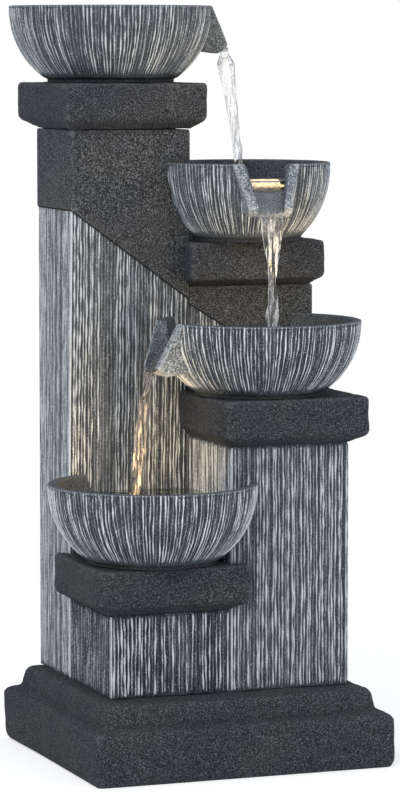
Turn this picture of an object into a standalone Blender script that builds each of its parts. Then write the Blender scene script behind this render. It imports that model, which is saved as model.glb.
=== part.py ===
"""Four-bowl waterfall fountain in cast stone, modelled at its real size.

The fountain stands on the floor at z = 0 with its plinth centred on the Z axis. X runs to
the right, Y to the rear and Z up, in metres. Two towers, a front block and a front
pedestal stand on the plinth. Each carries a ledge and a bowl, and three of the bowls have
a spout. A pump in the plinth's sump feeds the top bowl through a riser in the tall column.
The top bowl and its ledge lift off, the access door comes off to the rear, the pump's
impeller spins and its flow dial turns.
"""

import math
from dataclasses import dataclass

import bmesh
import bpy
from mathutils import Matrix, Vector

# Fits
SEAT_GAP = 0.0003            # between two pieces that touch
RUN_GAP = 0.0005             # around a piece that slides or turns
CUT_PAST = 0.010             # how far a cutter runs past the face that it opens
JOIN_DEPTH = 0.0005          # how far two shapes of one piece reach into each other

# Plinth
PLINTH_WIDTH = 0.350
PLINTH_DEPTH = 0.318
SLAB_HEIGHT = 0.060
STEP_HEIGHT = 0.026
STEP_INSET = 0.016           # from the slab's edge to the step's foot
STEP_SLOPE = 0.003           # from the step's foot to its shoulder
PLINTH_ROUND = 0.007
PLINTH_CORNER = 0.009
SUMP_FLOOR = 0.010
SUMP_WALL = 0.012
DECK_THICKNESS = 0.010

# Towers: every outer face keeps these margins to the plinth's edge
SIDE_MARGIN = 0.035
FRONT_MARGIN = 0.055
REAR_MARGIN = 0.017
COLUMN_WALL = 0.010
TALL_TOP = 0.699
TALL_FRONT = 0.035           # front face of the tall column at its foot
TALL_LEAN = 0.011            # how far that face leans forward towards the top
LEAN_START = 0.315           # the lean starts here and ends at the cape's left-hand edge
RIGHT_DROP = 0.176           # from the tall column's top to the right column's top
RIGHT_FRONT = 0.032
RIGHT_OVERHANG = 0.010       # the right column is wider than the front block by this
BLOCK_DROP = 0.167           # from the right column's top to the front block's top
PEDESTAL_DROP = 0.179        # from the front block's top to the front pedestal's top
FLUTE_PITCH = 0.0047
FLUTE_DEPTH = 0.0014
COLUMN_CHAMFER = 0.003

# Plain cape over the upper part of both towers, cut off along one sloping line
CAPE_DROP = 0.088            # from the tall column's top to the cape's left-hand edge
CAPE_SLOPE = 0.727
CAPE_RIGHT_DROP = 0.004      # the line starts this much lower on the right column
CAPE_RIGHT_SLOPE = 0.62
CAPE_FRONT_STEP = 0.0035     # on the tall column
CAPE_RIGHT_FRONT_STEP = 0.002
CAPE_SIDE_STEP = 0.0015
CAPE_DEPTH_BELOW = 0.150     # how far the uncut cape reaches below its left-hand edge

# Ledges under the bowls
LEDGE_THICKNESS = 0.042
COVE_HEIGHT = 0.010
LEDGE_ROUND = 0.003
TOP_LEDGE_LEFT = 0.0142
TOP_LEDGE_RIGHT = 0.0148
TOP_LEDGE_FRONT = 0.034
TOP_LEDGE_REAR = 0.037
TOP_LEDGE_CORNER = 0.008
SECOND_LEDGE_LEFT = 0.0105
SECOND_LEDGE_RIGHT = 0.001
SECOND_LEDGE_FRONT = 0.040
SECOND_LEDGE_CORNER = 0.006
THIRD_LEDGE_LEFT = 0.014
THIRD_LEDGE_RIGHT = 0.0175
THIRD_LEDGE_FRONT = 0.0215
THIRD_LEDGE_CORNER = 0.008
BOTTOM_LEDGE_LEFT = 0.017
BOTTOM_LEDGE_RIGHT = 0.019
BOTTOM_LEDGE_FRONT = 0.018
BOTTOM_LEDGE_REAR = 0.007
BOTTOM_LEDGE_CORNER = 0.004
BOTTOM_LEDGE_WORN_CORNER = 0.022    # its front left corner is worn round
LEDGE_POCKET_ROOF = 0.010
LOCATING_RIM_DEPTH = 0.008   # the top ledge reaches this far into the tall column
LOCATING_RIM_WALL = 0.006
LOCATING_GAP = 0.001

# Bowls: each stands off its ledge's centre by its offsets
TOP_BOWL_RADIUS = 0.1142
TOP_BOWL_FOOT = 0.071
TOP_BOWL_HEIGHT = 0.0848
TOP_BOWL_OFFSET_X = -0.0008
TOP_SPOUT_ANGLE = -11.0
TOP_SPOUT_DROP = 0.0435
SECOND_BOWL_RADIUS = 0.094
SECOND_BOWL_FOOT = 0.055
SECOND_BOWL_HEIGHT = 0.087
SECOND_BOWL_OFFSET_X = -0.005
SECOND_BOWL_OFFSET_Y = -0.049
SECOND_SPOUT_ANGLE = -97.0
SECOND_SPOUT_DROP = 0.048
THIRD_BOWL_RADIUS = 0.1135
THIRD_BOWL_FOOT = 0.072
THIRD_BOWL_HEIGHT = 0.0817
THIRD_BOWL_OFFSET_X = -0.0167
THIRD_SPOUT_ANGLE = 182.0
THIRD_SPOUT_DROP = 0.0485
BOTTOM_BOWL_RADIUS = 0.1155
BOTTOM_BOWL_FOOT = 0.072
BOTTOM_BOWL_HEIGHT = 0.086
BOTTOM_BOWL_OFFSET_X = -0.007
BOTTOM_BOWL_OFFSET_Y = -0.022
BOWL_WALL = 0.010
CAVITY_DEPTH = 0.045
BOWL_FLOOR = 0.007
RIM_EDGE = 0.0012            # small round of the rim's outer edge
FLOOR_SHARE = 0.72           # the flat floor's share of the bowl's radius
PROFILE_POWER = 2.15
PROFILE_STRETCH = 1.2
FOOT_HEIGHT = 0.006
FOOT_RING = 0.010
BOWL_SEGMENTS = 40
BOWL_OUTER_STEPS = 6

# Spouts: a beak that grows out of the wall, with a sloping channel between two cheeks.
# Each spout's drop, from the rim to its lip, stands with its bowl.
SPOUT_REACH = 0.0177
SPOUT_LIP_DEPTH = 0.010      # from the lip to the beak's underside
SPOUT_UNDERCUT = 0.004       # how far the underside climbs towards the bowl
SPOUT_TOP_HALF_WIDTH = 0.038
SPOUT_LIP_HALF_WIDTH = 0.025
CHANNEL_HALF_WIDTH = 0.023
CHANNEL_LIP_HALF_WIDTH = 0.014
CHANNEL_START_DEPTH = 0.024
CHANNEL_LIP_FALL = 0.006     # from the cheeks' lower ends to the channel's floor at the lip
CHANNEL_CORNER = 0.004

# Lamps in the three lower bowls
LAMP_RADIUS = 0.0225
LAMP_CUP_HEIGHT = 0.018
LAMP_CUP_WALL = 0.002
LAMP_LENS_HEIGHT = 0.014
LAMP_SEGMENTS = 20
LAMP_BASE = 0.004
LAMP_STEM_RADIUS = 0.005
LAMP_STEM_SPARE = 0.004      # how far the stem reaches past its nut
LAMP_NUT_RADIUS = 0.009
LAMP_NUT_HEIGHT = 0.004
LAMP_BOARD_HEIGHT = 0.0016
LAMP_CHIP_RADIUS = 0.0022
LAMP_CHIP_HEIGHT = 0.0012
LENS_STANDOFF = 0.003        # from the board to the lens's skirt
LENS_SKIRT = 0.002
LENS_CROWN = 0.003
SECOND_LAMP_X = 0.006        # each lamp stands off its bowl's axis by these distances
SECOND_LAMP_Y = -0.040
THIRD_LAMP_X = 0.010
THIRD_LAMP_Y = 0.018
BOTTOM_LAMP_X = 0.022
BOTTOM_LAMP_Y = -0.008
LAMP_CHIP_COUNT = 4

# Water circuit
RISER_RADIUS = 0.008
RISER_BORE = 0.0062
RISER_DROP = 0.009           # from the tall column's top to the riser's end
INLET_BORE = 0.0042
INLET_INSERTION = 0.025      # how far the top bowl's inlet pipe reaches into the riser
INLET_STAND = 0.012          # height of the nozzle above the bowl's floor
INLET_FLANGE_RADIUS = 0.013
INLET_FLANGE_HEIGHT = 0.003
INLET_SEAL_HEIGHT = 0.002
DRAIN_OFFSET_X = -0.024      # from the bottom bowl's axis
DRAIN_OFFSET_Y = 0.050
DRAIN_FLANGE_HEIGHT = 0.002
DRAIN_RADIUS = 0.010
DRAIN_BORE = 0.0075
DRAIN_END = 0.030            # height of the drain pipe's open end above the floor
STRAINER_RADIUS = 0.016
STRAINER_HEIGHT = 0.012
STRAINER_WALL = 0.002
STRAINER_SLOTS = 8
STRAINER_SLOT_WIDTH = 0.003
STRAINER_ROUND = 0.003
STRAINER_SILL = 0.0025       # below its slots

# Pump in the sump: its impeller turns about an axis along Y, its cover faces the door
PUMP_WIDTH = 0.052
PUMP_HEIGHT = 0.044
PUMP_LENGTH = 0.052
PUMP_FOOT_HEIGHT = 0.012
PUMP_CORNER = 0.006
PUMP_OUTLET_SETBACK = 0.008  # from the motor housing's open face to the outlet
CHAMBER_RADIUS = 0.0145
CHAMBER_DEPTH = 0.016
ROTOR_WELL_RADIUS = 0.0115
ROTOR_WELL_DEPTH = 0.030
OUTLET_BARB_RADIUS = 0.0059
OUTLET_BORE = 0.0042
OUTLET_HEIGHT = 0.014
COVER_DEPTH = 0.015
COVER_WALL = 0.0025
COVER_SLOTS = 7
COVER_SLOT_WIDTH = 0.002
INTAKE_RADIUS = 0.006
IMPELLER_DISC_RADIUS = 0.0135
IMPELLER_DISC_THICKNESS = 0.002
IMPELLER_BLADE_DEPTH = 0.009
IMPELLER_BLADE_THICKNESS = 0.0016
IMPELLER_BLADES = 6
ROTOR_END_GAP = 0.002        # behind the impeller's disc and behind its magnet
MAGNET_RADIUS = 0.0108
SHAFT_RADIUS = 0.0012
DIAL_RADIUS = 0.008
DIAL_THICKNESS = 0.003
DIAL_PIN_RADIUS = 0.0022
DIAL_RIB_WIDTH = 0.0024
DIAL_RIB_HEIGHT = 0.004
DIAL_HEIGHT_ON_COVER = 0.030
SUCTION_CUP_RADIUS = 0.007

# Access door in the rear of the tall column
DOOR_WIDTH = 0.100
DOOR_HEIGHT = 0.130
DOOR_SILL = 0.100
DOOR_LAND = 0.008            # how far the door's flange overlaps the wall around the hole
REBATE_DEPTH = 0.006
DOOR_FLANGE = 0.0035
DOOR_PLUG_DEPTH = 0.005
SEAL_THICKNESS = 0.0015
SEAL_WIDTH = 0.006
DOOR_GRIP_WIDTH = 0.036
DOOR_GRIP_HEIGHT = 0.010
DOOR_GRIP_DEPTH = 0.0025

# Cord grommet in the rear of the tall column
GROMMET_INSET = 0.035        # from the tall column's left face
GROMMET_Z = 0.262
GROMMET_HOLE = 0.006
GROMMET_FLANGE = 0.010
GROMMET_LIP = 0.002
CORD_HOLE = 0.0035

# Derived places
RIGHT_TOP = TALL_TOP - RIGHT_DROP
BLOCK_TOP = RIGHT_TOP - BLOCK_DROP
PEDESTAL_TOP = BLOCK_TOP - PEDESTAL_DROP
CAPE_LEFT_HEIGHT = TALL_TOP - CAPE_DROP
CAPE_RIGHT_HEIGHT = CAPE_LEFT_HEIGHT - (PLINTH_WIDTH / 2 - SIDE_MARGIN) * CAPE_SLOPE - CAPE_RIGHT_DROP
RISER_TOP = TALL_TOP - RISER_DROP
DECK_TOP = SLAB_HEIGHT + STEP_HEIGHT
FOOT_Z = DECK_TOP + SEAT_GAP
LEFT_X = -(PLINTH_WIDTH / 2 - SIDE_MARGIN)
RIGHT_X = PLINTH_WIDTH / 2 - SIDE_MARGIN
FRONT_Y = -(PLINTH_DEPTH / 2 - FRONT_MARGIN)
REAR_Y = PLINTH_DEPTH / 2 - REAR_MARGIN
GROMMET_X = LEFT_X + GROMMET_INSET
SPLIT = SEAT_GAP / 2
PUMP_FLOOR = SUMP_FLOOR + PUMP_FOOT_HEIGHT
PUMP_AXIS_Z = PUMP_FLOOR + PUMP_HEIGHT / 2


@dataclass(frozen=True)
class Block:
    """One upright block: its footprint and its top."""

    name: str
    x0: float
    x1: float
    y0: float
    y1: float
    top: float


@dataclass(frozen=True)
class Ledge:
    """A ledge on a block, with its overhang on each side and the radii of its corners."""

    name: str
    block: Block
    left: float
    right: float
    front: float
    rear: float
    corners: tuple

    @property
    def base(self):
        """Height of the seat on the block."""
        return self.block.top + SEAT_GAP

    @property
    def top(self):
        """Height of the ledge's upper face."""
        return self.base + COVE_HEIGHT + LEDGE_THICKNESS

    @property
    def centre(self):
        """Centre of the ledge in plan."""
        block = self.block
        return ((block.x0 - self.left + block.x1 + self.right) / 2,
                (block.y0 - self.front + block.y1 + self.rear) / 2)


@dataclass(frozen=True)
class Bowl:
    """A bowl on a ledge: its radii, height, offset on the ledge and spout direction."""

    name: str
    ledge: Ledge
    radius: float
    foot_radius: float
    height: float
    offset_x: float
    offset_y: float
    spout_angle: float | None
    spout_drop: float | None

    @property
    def x(self):
        """Axis of the bowl along X."""
        return self.ledge.centre[0] + self.offset_x

    @property
    def y(self):
        """Axis of the bowl along Y."""
        return self.ledge.centre[1] + self.offset_y

    @property
    def rim(self):
        """Height of the rim."""
        return self.ledge.top + SEAT_GAP + self.height

    @property
    def floor(self):
        """Height of the inside floor."""
        return self.rim - CAVITY_DEPTH


TALL = Block("tall_column", LEFT_X, -SPLIT, TALL_FRONT, REAR_Y, TALL_TOP)
RIGHT = Block("right_column", SPLIT, RIGHT_X + RIGHT_OVERHANG, RIGHT_FRONT, REAR_Y, RIGHT_TOP)
FRONT_BLOCK = Block("front_block", SPLIT, RIGHT_X, FRONT_Y, RIGHT_FRONT - SEAT_GAP, BLOCK_TOP)
PEDESTAL = Block("front_pedestal", LEFT_X, -SPLIT, FRONT_Y, TALL_FRONT - SEAT_GAP, PEDESTAL_TOP)

TOP_LEDGE = Ledge("top_ledge", TALL, TOP_LEDGE_LEFT, TOP_LEDGE_RIGHT, TOP_LEDGE_FRONT,
                  TOP_LEDGE_REAR, (TOP_LEDGE_CORNER,) * 4)
SECOND_LEDGE = Ledge("second_ledge", RIGHT, SECOND_LEDGE_LEFT, SECOND_LEDGE_RIGHT,
                     SECOND_LEDGE_FRONT, 0.0, (SECOND_LEDGE_CORNER,) * 4)
THIRD_LEDGE = Ledge("third_ledge", FRONT_BLOCK, THIRD_LEDGE_LEFT, THIRD_LEDGE_RIGHT,
                    THIRD_LEDGE_FRONT, 0.0, (THIRD_LEDGE_CORNER,) * 4)
BOTTOM_LEDGE = Ledge("bottom_ledge", PEDESTAL, BOTTOM_LEDGE_LEFT, BOTTOM_LEDGE_RIGHT,
                     BOTTOM_LEDGE_FRONT, BOTTOM_LEDGE_REAR,
                     (BOTTOM_LEDGE_WORN_CORNER,) + (BOTTOM_LEDGE_CORNER,) * 3)

TOP_BOWL = Bowl("top_bowl", TOP_LEDGE, TOP_BOWL_RADIUS, TOP_BOWL_FOOT, TOP_BOWL_HEIGHT,
                TOP_BOWL_OFFSET_X, 0.0, TOP_SPOUT_ANGLE, TOP_SPOUT_DROP)
SECOND_BOWL = Bowl("second_bowl", SECOND_LEDGE, SECOND_BOWL_RADIUS, SECOND_BOWL_FOOT,
                   SECOND_BOWL_HEIGHT, SECOND_BOWL_OFFSET_X, SECOND_BOWL_OFFSET_Y,
                   SECOND_SPOUT_ANGLE, SECOND_SPOUT_DROP)
THIRD_BOWL = Bowl("third_bowl", THIRD_LEDGE, THIRD_BOWL_RADIUS, THIRD_BOWL_FOOT,
                  THIRD_BOWL_HEIGHT, THIRD_BOWL_OFFSET_X, 0.0, THIRD_SPOUT_ANGLE,
                  THIRD_SPOUT_DROP)
BOTTOM_BOWL = Bowl("bottom_bowl", BOTTOM_LEDGE, BOTTOM_BOWL_RADIUS, BOTTOM_BOWL_FOOT,
                   BOTTOM_BOWL_HEIGHT, BOTTOM_BOWL_OFFSET_X, BOTTOM_BOWL_OFFSET_Y, None, None)

# The riser stands on the top bowl's axis and the pump's outlet lies under it
RISER_X = TOP_BOWL.x
RISER_Y = TOP_BOWL.y
PUMP_FACE_Y = RISER_Y + PUMP_OUTLET_SETBACK
PUMP_REAR_Y = PUMP_FACE_Y - PUMP_LENGTH
DRAIN_X = BOTTOM_BOWL.x + DRAIN_OFFSET_X
DRAIN_Y = BOTTOM_BOWL.y + DRAIN_OFFSET_Y
LAMP_OFFSETS = {"second": (SECOND_LAMP_X, SECOND_LAMP_Y), "third": (THIRD_LAMP_X, THIRD_LAMP_Y),
                "bottom": (BOTTOM_LAMP_X, BOTTOM_LAMP_Y)}


def clear_scene():
    """Remove every object of the open scene."""
    for obj in list(bpy.data.objects):
        bpy.data.objects.remove(obj, do_unlink=True)


def new_collection(name):
    """Return an empty collection linked to the scene."""
    collection = bpy.data.collections.new(name)
    bpy.context.scene.collection.children.link(collection)
    return collection


def make_material(name, colour, roughness, metallic=0.0):
    """Return a Principled material with one colour, roughness and metallic value."""
    material = bpy.data.materials.new(name)
    material.use_nodes = True
    shader = material.node_tree.nodes["Principled BSDF"]
    shader.inputs["Base Color"].default_value = (*colour, 1.0)
    shader.inputs["Roughness"].default_value = roughness
    shader.inputs["Metallic"].default_value = metallic
    return material


def add_object(name, mesh, collection, material=None):
    """Link a mesh as an object in a collection and give it a material."""
    obj = bpy.data.objects.new(name, mesh)
    collection.objects.link(obj)
    if material is not None:
        mesh.materials.append(material)
    if collection is CUTTERS:
        obj.hide_render = True
        obj.display_type = "WIRE"
    return obj


def finish_mesh(graph, name, smooth_angle=35.0):
    """Turn a bmesh into a mesh whose round faces are smooth and whose edges are sharp."""
    bmesh.ops.recalc_face_normals(graph, faces=graph.faces)
    mesh = bpy.data.meshes.new(name)
    graph.to_mesh(mesh)
    graph.free()
    mesh.shade_smooth()
    mesh.set_sharp_from_angle(angle=math.radians(smooth_angle))
    return mesh


def loft(name, rings, collection, material=None, smooth_angle=35.0):
    """Join rings of equally many points into one closed solid with flat ends."""
    graph = bmesh.new()
    loops = [[graph.verts.new(point) for point in ring] for ring in rings]
    count = len(loops[0])
    for lower, upper in zip(loops, loops[1:]):
        for index in range(count):
            following = (index + 1) % count
            graph.faces.new((lower[index], lower[following], upper[following], upper[index]))
    graph.faces.new(list(reversed(loops[0])))
    graph.faces.new(loops[-1])
    return add_object(name, finish_mesh(graph, name, smooth_angle), collection, material)


def box(name, low, high, collection, material=None):
    """Return a box between two corners."""
    graph = bmesh.new()
    size = Vector(high) - Vector(low)
    centre = (Vector(high) + Vector(low)) / 2
    place = Matrix.Translation(centre) @ Matrix.Diagonal((*size, 1.0))
    bmesh.ops.create_cube(graph, size=1.0, matrix=place)
    return add_object(name, finish_mesh(graph, name), collection, material)


def cylinder(name, radius, low, high, centre, collection, axis="Z", material=None, segments=16,
             end_radius=None):
    """Return a cylinder or cone along an axis from low to high, centred on two coordinates."""
    graph = bmesh.new()
    turn = {"Z": Matrix.Identity(4), "Y": Matrix.Rotation(-math.pi / 2, 4, "X"),
            "X": Matrix.Rotation(math.pi / 2, 4, "Y")}[axis]
    middle = (low + high) / 2
    place = {"Z": (centre[0], centre[1], middle), "Y": (centre[0], middle, centre[1]),
             "X": (middle, centre[0], centre[1])}[axis]
    far = radius if end_radius is None else end_radius
    bmesh.ops.create_cone(graph, cap_ends=True, segments=segments, radius1=radius, radius2=far,
                          depth=high - low, matrix=Matrix.Translation(place) @ turn)
    return add_object(name, finish_mesh(graph, name), collection, material)


def turned(name, profile, centre, collection, material=None, segments=16, along_y=False):
    """Turn a closed profile of (radius, height) points about its own axis.

    The profile's first and last points lie on the axis, or it closes on itself away from
    the axis.
    """
    graph = bmesh.new()
    points = [graph.verts.new((radius, 0.0, height)) for radius, height in profile]
    for start, end in zip(points, points[1:]):
        graph.edges.new((start, end))
    if profile[0][0] > 0.0:
        graph.edges.new((points[-1], points[0]))
    mesh = bpy.data.meshes.new(name)
    graph.to_mesh(mesh)
    graph.free()
    obj = add_object(name, mesh, collection, material)
    obj.location = centre
    if along_y:
        obj.rotation_euler = (-math.pi / 2, 0.0, 0.0)
    screw = obj.modifiers.new("turn", "SCREW")
    screw.axis = "Z"
    screw.steps = segments
    screw.render_steps = segments
    screw.use_merge_vertices = True
    screw.merge_threshold = 0.00002
    screw.use_smooth_shade = True
    return obj


def combine(target, tool, operation="DIFFERENCE"):
    """Add a Boolean of another object to a target."""
    modifier = target.modifiers.new(f"{operation.lower()}_{tool.name}", "BOOLEAN")
    modifier.operation = operation
    modifier.solver = "EXACT"
    modifier.object = tool
    return target


def rounded_outline(x0, x1, y0, y1, radii, steps=3):
    """Return the points of a rounded rectangle, anticlockwise from the front left.

    The radii are one number, or four in the order of the corners.
    """
    if not isinstance(radii, tuple):
        radii = (radii,) * 4
    corners = ((x0, y0, math.pi), (x1, y0, 1.5 * math.pi), (x1, y1, 0.0), (x0, y1, 0.5 * math.pi))
    points = []
    for (x, y, start), radius in zip(corners, radii):
        centre_x = x + (radius if x == x0 else -radius)
        centre_y = y + (radius if y == y0 else -radius)
        for step in range(steps + 1):
            angle = start + 0.5 * math.pi * step / steps
            points.append((centre_x + radius * math.cos(angle), centre_y + radius * math.sin(angle)))
    return points


def at_height(outline, height):
    """Lift a plan outline to a height."""
    return [(x, y, height) for x, y in outline]


def fluted_outline(x0, x1, y0, y1, fluted_sides, chamfered, counts):
    """Return a block's outline with vertical V flutes on the named sides.

    Crests lie on the rectangle and valleys lie inside it. Counts hold the number of flutes
    of each side, so that outlines at two heights have equally many points.
    """
    corners = {"front": ((x0, y0), (x1, y0)), "right": ((x1, y0), (x1, y1)),
               "rear": ((x1, y1), (x0, y1)), "left": ((x0, y1), (x0, y0))}
    inward = {"front": (0.0, 1.0), "right": (-1.0, 0.0), "rear": (0.0, -1.0), "left": (1.0, 0.0)}
    order = ("front", "right", "rear", "left")
    points = []
    for index, side in enumerate(order):
        start, end = (Vector(corner) for corner in corners[side])
        along = (end - start).normalized()
        cut_start = COLUMN_CHAMFER if (order[index - 1], side) in chamfered else 0.0
        cut_end = COLUMN_CHAMFER if (side, order[(index + 1) % 4]) in chamfered else 0.0
        first = start + along * cut_start
        last = end - along * cut_end
        points.append(first)
        if side in fluted_sides:
            divisions = 2 * counts[side]
            for division in range(1, divisions):
                point = first.lerp(last, division / divisions)
                if division % 2:
                    point = point + Vector(inward[side]) * FLUTE_DEPTH
                points.append(point)
        if cut_end > 0.0:
            points.append(last)
    return [tuple(point) for point in points]


def flute_counts(block):
    """Return how many flutes each side of a block takes at the flute pitch."""
    across = round((block.x1 - block.x0) / FLUTE_PITCH)
    deep = round((block.y1 - block.y0) / FLUTE_PITCH)
    return {"front": across, "rear": across, "left": deep, "right": deep}


def tall_front(height):
    """Return the Y of the tall column's fluted front at a height: it leans forward."""
    share = (height - LEAN_START) / (CAPE_LEFT_HEIGHT - LEAN_START)
    return TALL_FRONT - TALL_LEAN * min(max(share, 0.0), 1.0)


def cape_solid(block, name, grow, front, bottom):
    """Return the plain cape of a tower, cut off along the sloping line."""
    front_step = CAPE_FRONT_STEP if block is TALL else CAPE_RIGHT_FRONT_STEP
    outer_left = block.x0 - (CAPE_SIDE_STEP if block is TALL else 0.0) - grow
    outer_right = block.x1 + (CAPE_SIDE_STEP if block is RIGHT else 0.0) + grow
    rear = block.y1 + CAPE_SIDE_STEP + grow
    rings = []
    edge = COLUMN_CHAMFER
    heights = (bottom, max(bottom + edge, CAPE_LEFT_HEIGHT) if block is TALL else bottom + edge,
               block.top - edge, block.top + grow)
    insets = (0.0, 0.0, 0.0, edge / 2)
    for height, inset in zip(heights, insets):
        y_front = front(height) - front_step - grow
        outline = rounded_outline(outer_left + (inset if block is TALL else 0.0),
                                  outer_right - (inset if block is RIGHT else 0.0),
                                  y_front + inset, rear - inset, edge)
        rings.append(at_height(outline, height))
    cape = loft(name, rings, CUTTERS)
    reach = PLINTH_WIDTH
    start, height, slope = ((LEFT_X, CAPE_LEFT_HEIGHT, CAPE_SLOPE) if block is TALL
                            else (0.0, CAPE_RIGHT_HEIGHT, CAPE_RIGHT_SLOPE))
    wedge = box(f"{name}_slope", (-reach, -reach, -reach), (reach, reach, 0.0), CUTTERS)
    wedge.location = (start, 0.0, height - grow)
    wedge.rotation_euler = (0.0, math.atan(slope), 0.0)
    return combine(cape, wedge)


def tower_envelope(block, grow, name):
    """Return the unfluted outer shape of a tower, grown by a clearance, as a cutter."""
    front = tall_front if block is TALL else (lambda height: block.y0)
    heights = (FOOT_Z - grow, LEAN_START, CAPE_LEFT_HEIGHT, block.top) if block is TALL else (
        FOOT_Z - grow, block.top)
    rings = []
    for height in heights:
        outline = [(block.x0 - grow, front(height) - grow), (block.x1 + grow, front(height) - grow),
                   (block.x1 + grow, block.y1 + grow), (block.x0 - grow, block.y1 + grow)]
        rings.append(at_height(outline, height))
    envelope = loft(name, rings, CUTTERS)
    cape = cape_solid(block, f"{name}_cape", grow, front, cape_bottom(block))
    return combine(envelope, cape, "UNION")


def cape_bottom(block):
    """Return where a cape's uncut shape starts: the right one stands on the third ledge."""
    if block is TALL:
        return CAPE_LEFT_HEIGHT - CAPE_DEPTH_BELOW
    return THIRD_LEDGE.top + SEAT_GAP


def build_tower(block, fluted_sides, chamfered):
    """Build a fluted hollow tower with its plain cape."""
    counts = flute_counts(block)
    front = tall_front if block is TALL else (lambda height: block.y0)
    heights = (FOOT_Z, LEAN_START, CAPE_LEFT_HEIGHT, block.top - COLUMN_CHAMFER) if block is TALL else (
        FOOT_Z, block.top - COLUMN_CHAMFER)
    rings = [at_height(fluted_outline(block.x0, block.x1, front(height), block.y1, fluted_sides,
                                      chamfered, counts), height) for height in heights]
    tower = loft(block.name, rings, PARTS, STONE_CARVED, smooth_angle=20.0)
    cape = cape_solid(block, f"{block.name}_cape", 0.0, front, cape_bottom(block))
    combine(tower, cape, "UNION")
    hollow = box(f"{block.name}_hollow",
                 (block.x0 + COLUMN_WALL, block.y0 + COLUMN_WALL, DECK_TOP - JOIN_DEPTH),
                 (block.x1 - COLUMN_WALL, block.y1 - COLUMN_WALL, block.top + COVE_HEIGHT), CUTTERS)
    return combine(tower, hollow)


def build_low_block(block, fluted_sides, chamfered):
    """Build a fluted hollow block that stands in front of the towers."""
    counts = flute_counts(block)
    rings = [at_height(fluted_outline(block.x0, block.x1, block.y0, block.y1, fluted_sides,
                                      chamfered, counts), height)
             for height in (FOOT_Z, block.top)]
    low = loft(block.name, rings, PARTS, STONE_CARVED, smooth_angle=20.0)
    hollow = box(f"{block.name}_hollow",
                 (block.x0 + COLUMN_WALL, block.y0 + COLUMN_WALL, DECK_TOP - JOIN_DEPTH),
                 (block.x1 - COLUMN_WALL, block.y1 - COLUMN_WALL, block.top + COVE_HEIGHT), CUTTERS)
    return combine(low, hollow)


def build_plinth():
    """Build the stepped plinth with its sump and the openings of its deck."""
    half_x = PLINTH_WIDTH / 2
    half_y = PLINTH_DEPTH / 2
    shoulder = STEP_INSET + STEP_SLOPE
    levels = ((0.0, PLINTH_ROUND / 3), (PLINTH_ROUND, 0.0), (SLAB_HEIGHT - PLINTH_ROUND, 0.0),
              (SLAB_HEIGHT - PLINTH_ROUND / 3, PLINTH_ROUND / 3), (SLAB_HEIGHT, PLINTH_ROUND),
              (SLAB_HEIGHT + PLINTH_ROUND / 3, STEP_INSET), (DECK_TOP - PLINTH_ROUND, shoulder),
              (DECK_TOP - PLINTH_ROUND / 3, shoulder + PLINTH_ROUND / 3),
              (DECK_TOP, shoulder + PLINTH_ROUND))
    rings = [at_height(rounded_outline(inset - half_x, half_x - inset, inset - half_y,
                                       half_y - inset, PLINTH_CORNER), height)
             for height, inset in levels]
    plinth = loft("plinth", rings, PARTS, STONE_PLAIN)
    for name, inset, roof in (("sump_space", SUMP_WALL, SLAB_HEIGHT - DECK_THICKNESS),
                              ("deck_space", shoulder + SUMP_WALL, DECK_TOP - DECK_THICKNESS)):
        space = box(name, (inset - half_x, inset - half_y, SUMP_FLOOR),
                    (half_x - inset, half_y - inset, roof), CUTTERS)
        combine(plinth, space)
    for block in (TALL, PEDESTAL):
        well = box(f"{block.name}_well",
                   (block.x0 + COLUMN_WALL, block.y0 + COLUMN_WALL,
                    DECK_TOP - DECK_THICKNESS - JOIN_DEPTH),
                   (block.x1 - COLUMN_WALL, block.y1 - COLUMN_WALL, DECK_TOP + CUT_PAST),
                   CUTTERS)
        combine(plinth, well)
    return plinth


def build_ledge(ledge, material):
    """Build a ledge with its rounded upper edge, its cove and the pocket under it."""
    block = ledge.block
    sides = (block.x0 - ledge.left, block.x1 + ledge.right,
             block.y0 - ledge.front, block.y1 + ledge.rear)
    low = ledge.base
    cove = low + COVE_HEIGHT

    def outline(inset):
        return rounded_outline(sides[0] + inset, sides[1] - inset, sides[2] + inset,
                               sides[3] - inset, ledge.corners)

    front = min(block.y0, tall_front(block.top) - CAPE_FRONT_STEP) if block is TALL else block.y0
    foot = rounded_outline(block.x0, block.x1, front, block.y1, COLUMN_CHAMFER)
    rings = [at_height(foot, low), at_height(outline(LEDGE_ROUND), cove - LEDGE_ROUND / 2),
             at_height(outline(0.0), cove + LEDGE_ROUND),
             at_height(outline(0.0), ledge.top - LEDGE_ROUND),
             at_height(outline(LEDGE_ROUND / 3), ledge.top - LEDGE_ROUND / 3),
             at_height(outline(LEDGE_ROUND), ledge.top)]
    slab = loft(ledge.name, rings, PARTS, material)
    wall = COLUMN_WALL
    if ledge is TOP_LEDGE:
        rim = box("locating_rim",
                  (block.x0 + wall + LOCATING_GAP, block.y0 + wall + LOCATING_GAP,
                   low - LOCATING_RIM_DEPTH),
                  (block.x1 - wall - LOCATING_GAP, block.y1 - wall - LOCATING_GAP,
                   low + COVE_HEIGHT), CUTTERS)
        combine(slab, rim, "UNION")
        wall = wall + LOCATING_GAP + LOCATING_RIM_WALL
    pocket = box(f"{ledge.name}_pocket",
                 (block.x0 + wall, block.y0 + wall, low - LOCATING_RIM_DEPTH * 2),
                 (block.x1 - wall, block.y1 - wall, ledge.top - LEDGE_POCKET_ROOF), CUTTERS)
    return combine(slab, pocket)


def bowl_outer(bowl, depth):
    """Return a bowl's outer radius at a depth below the rim."""
    share = depth / bowl.height / PROFILE_STRETCH
    return bowl.radius * (1.0 - share ** PROFILE_POWER) ** (1.0 / PROFILE_POWER)


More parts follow.
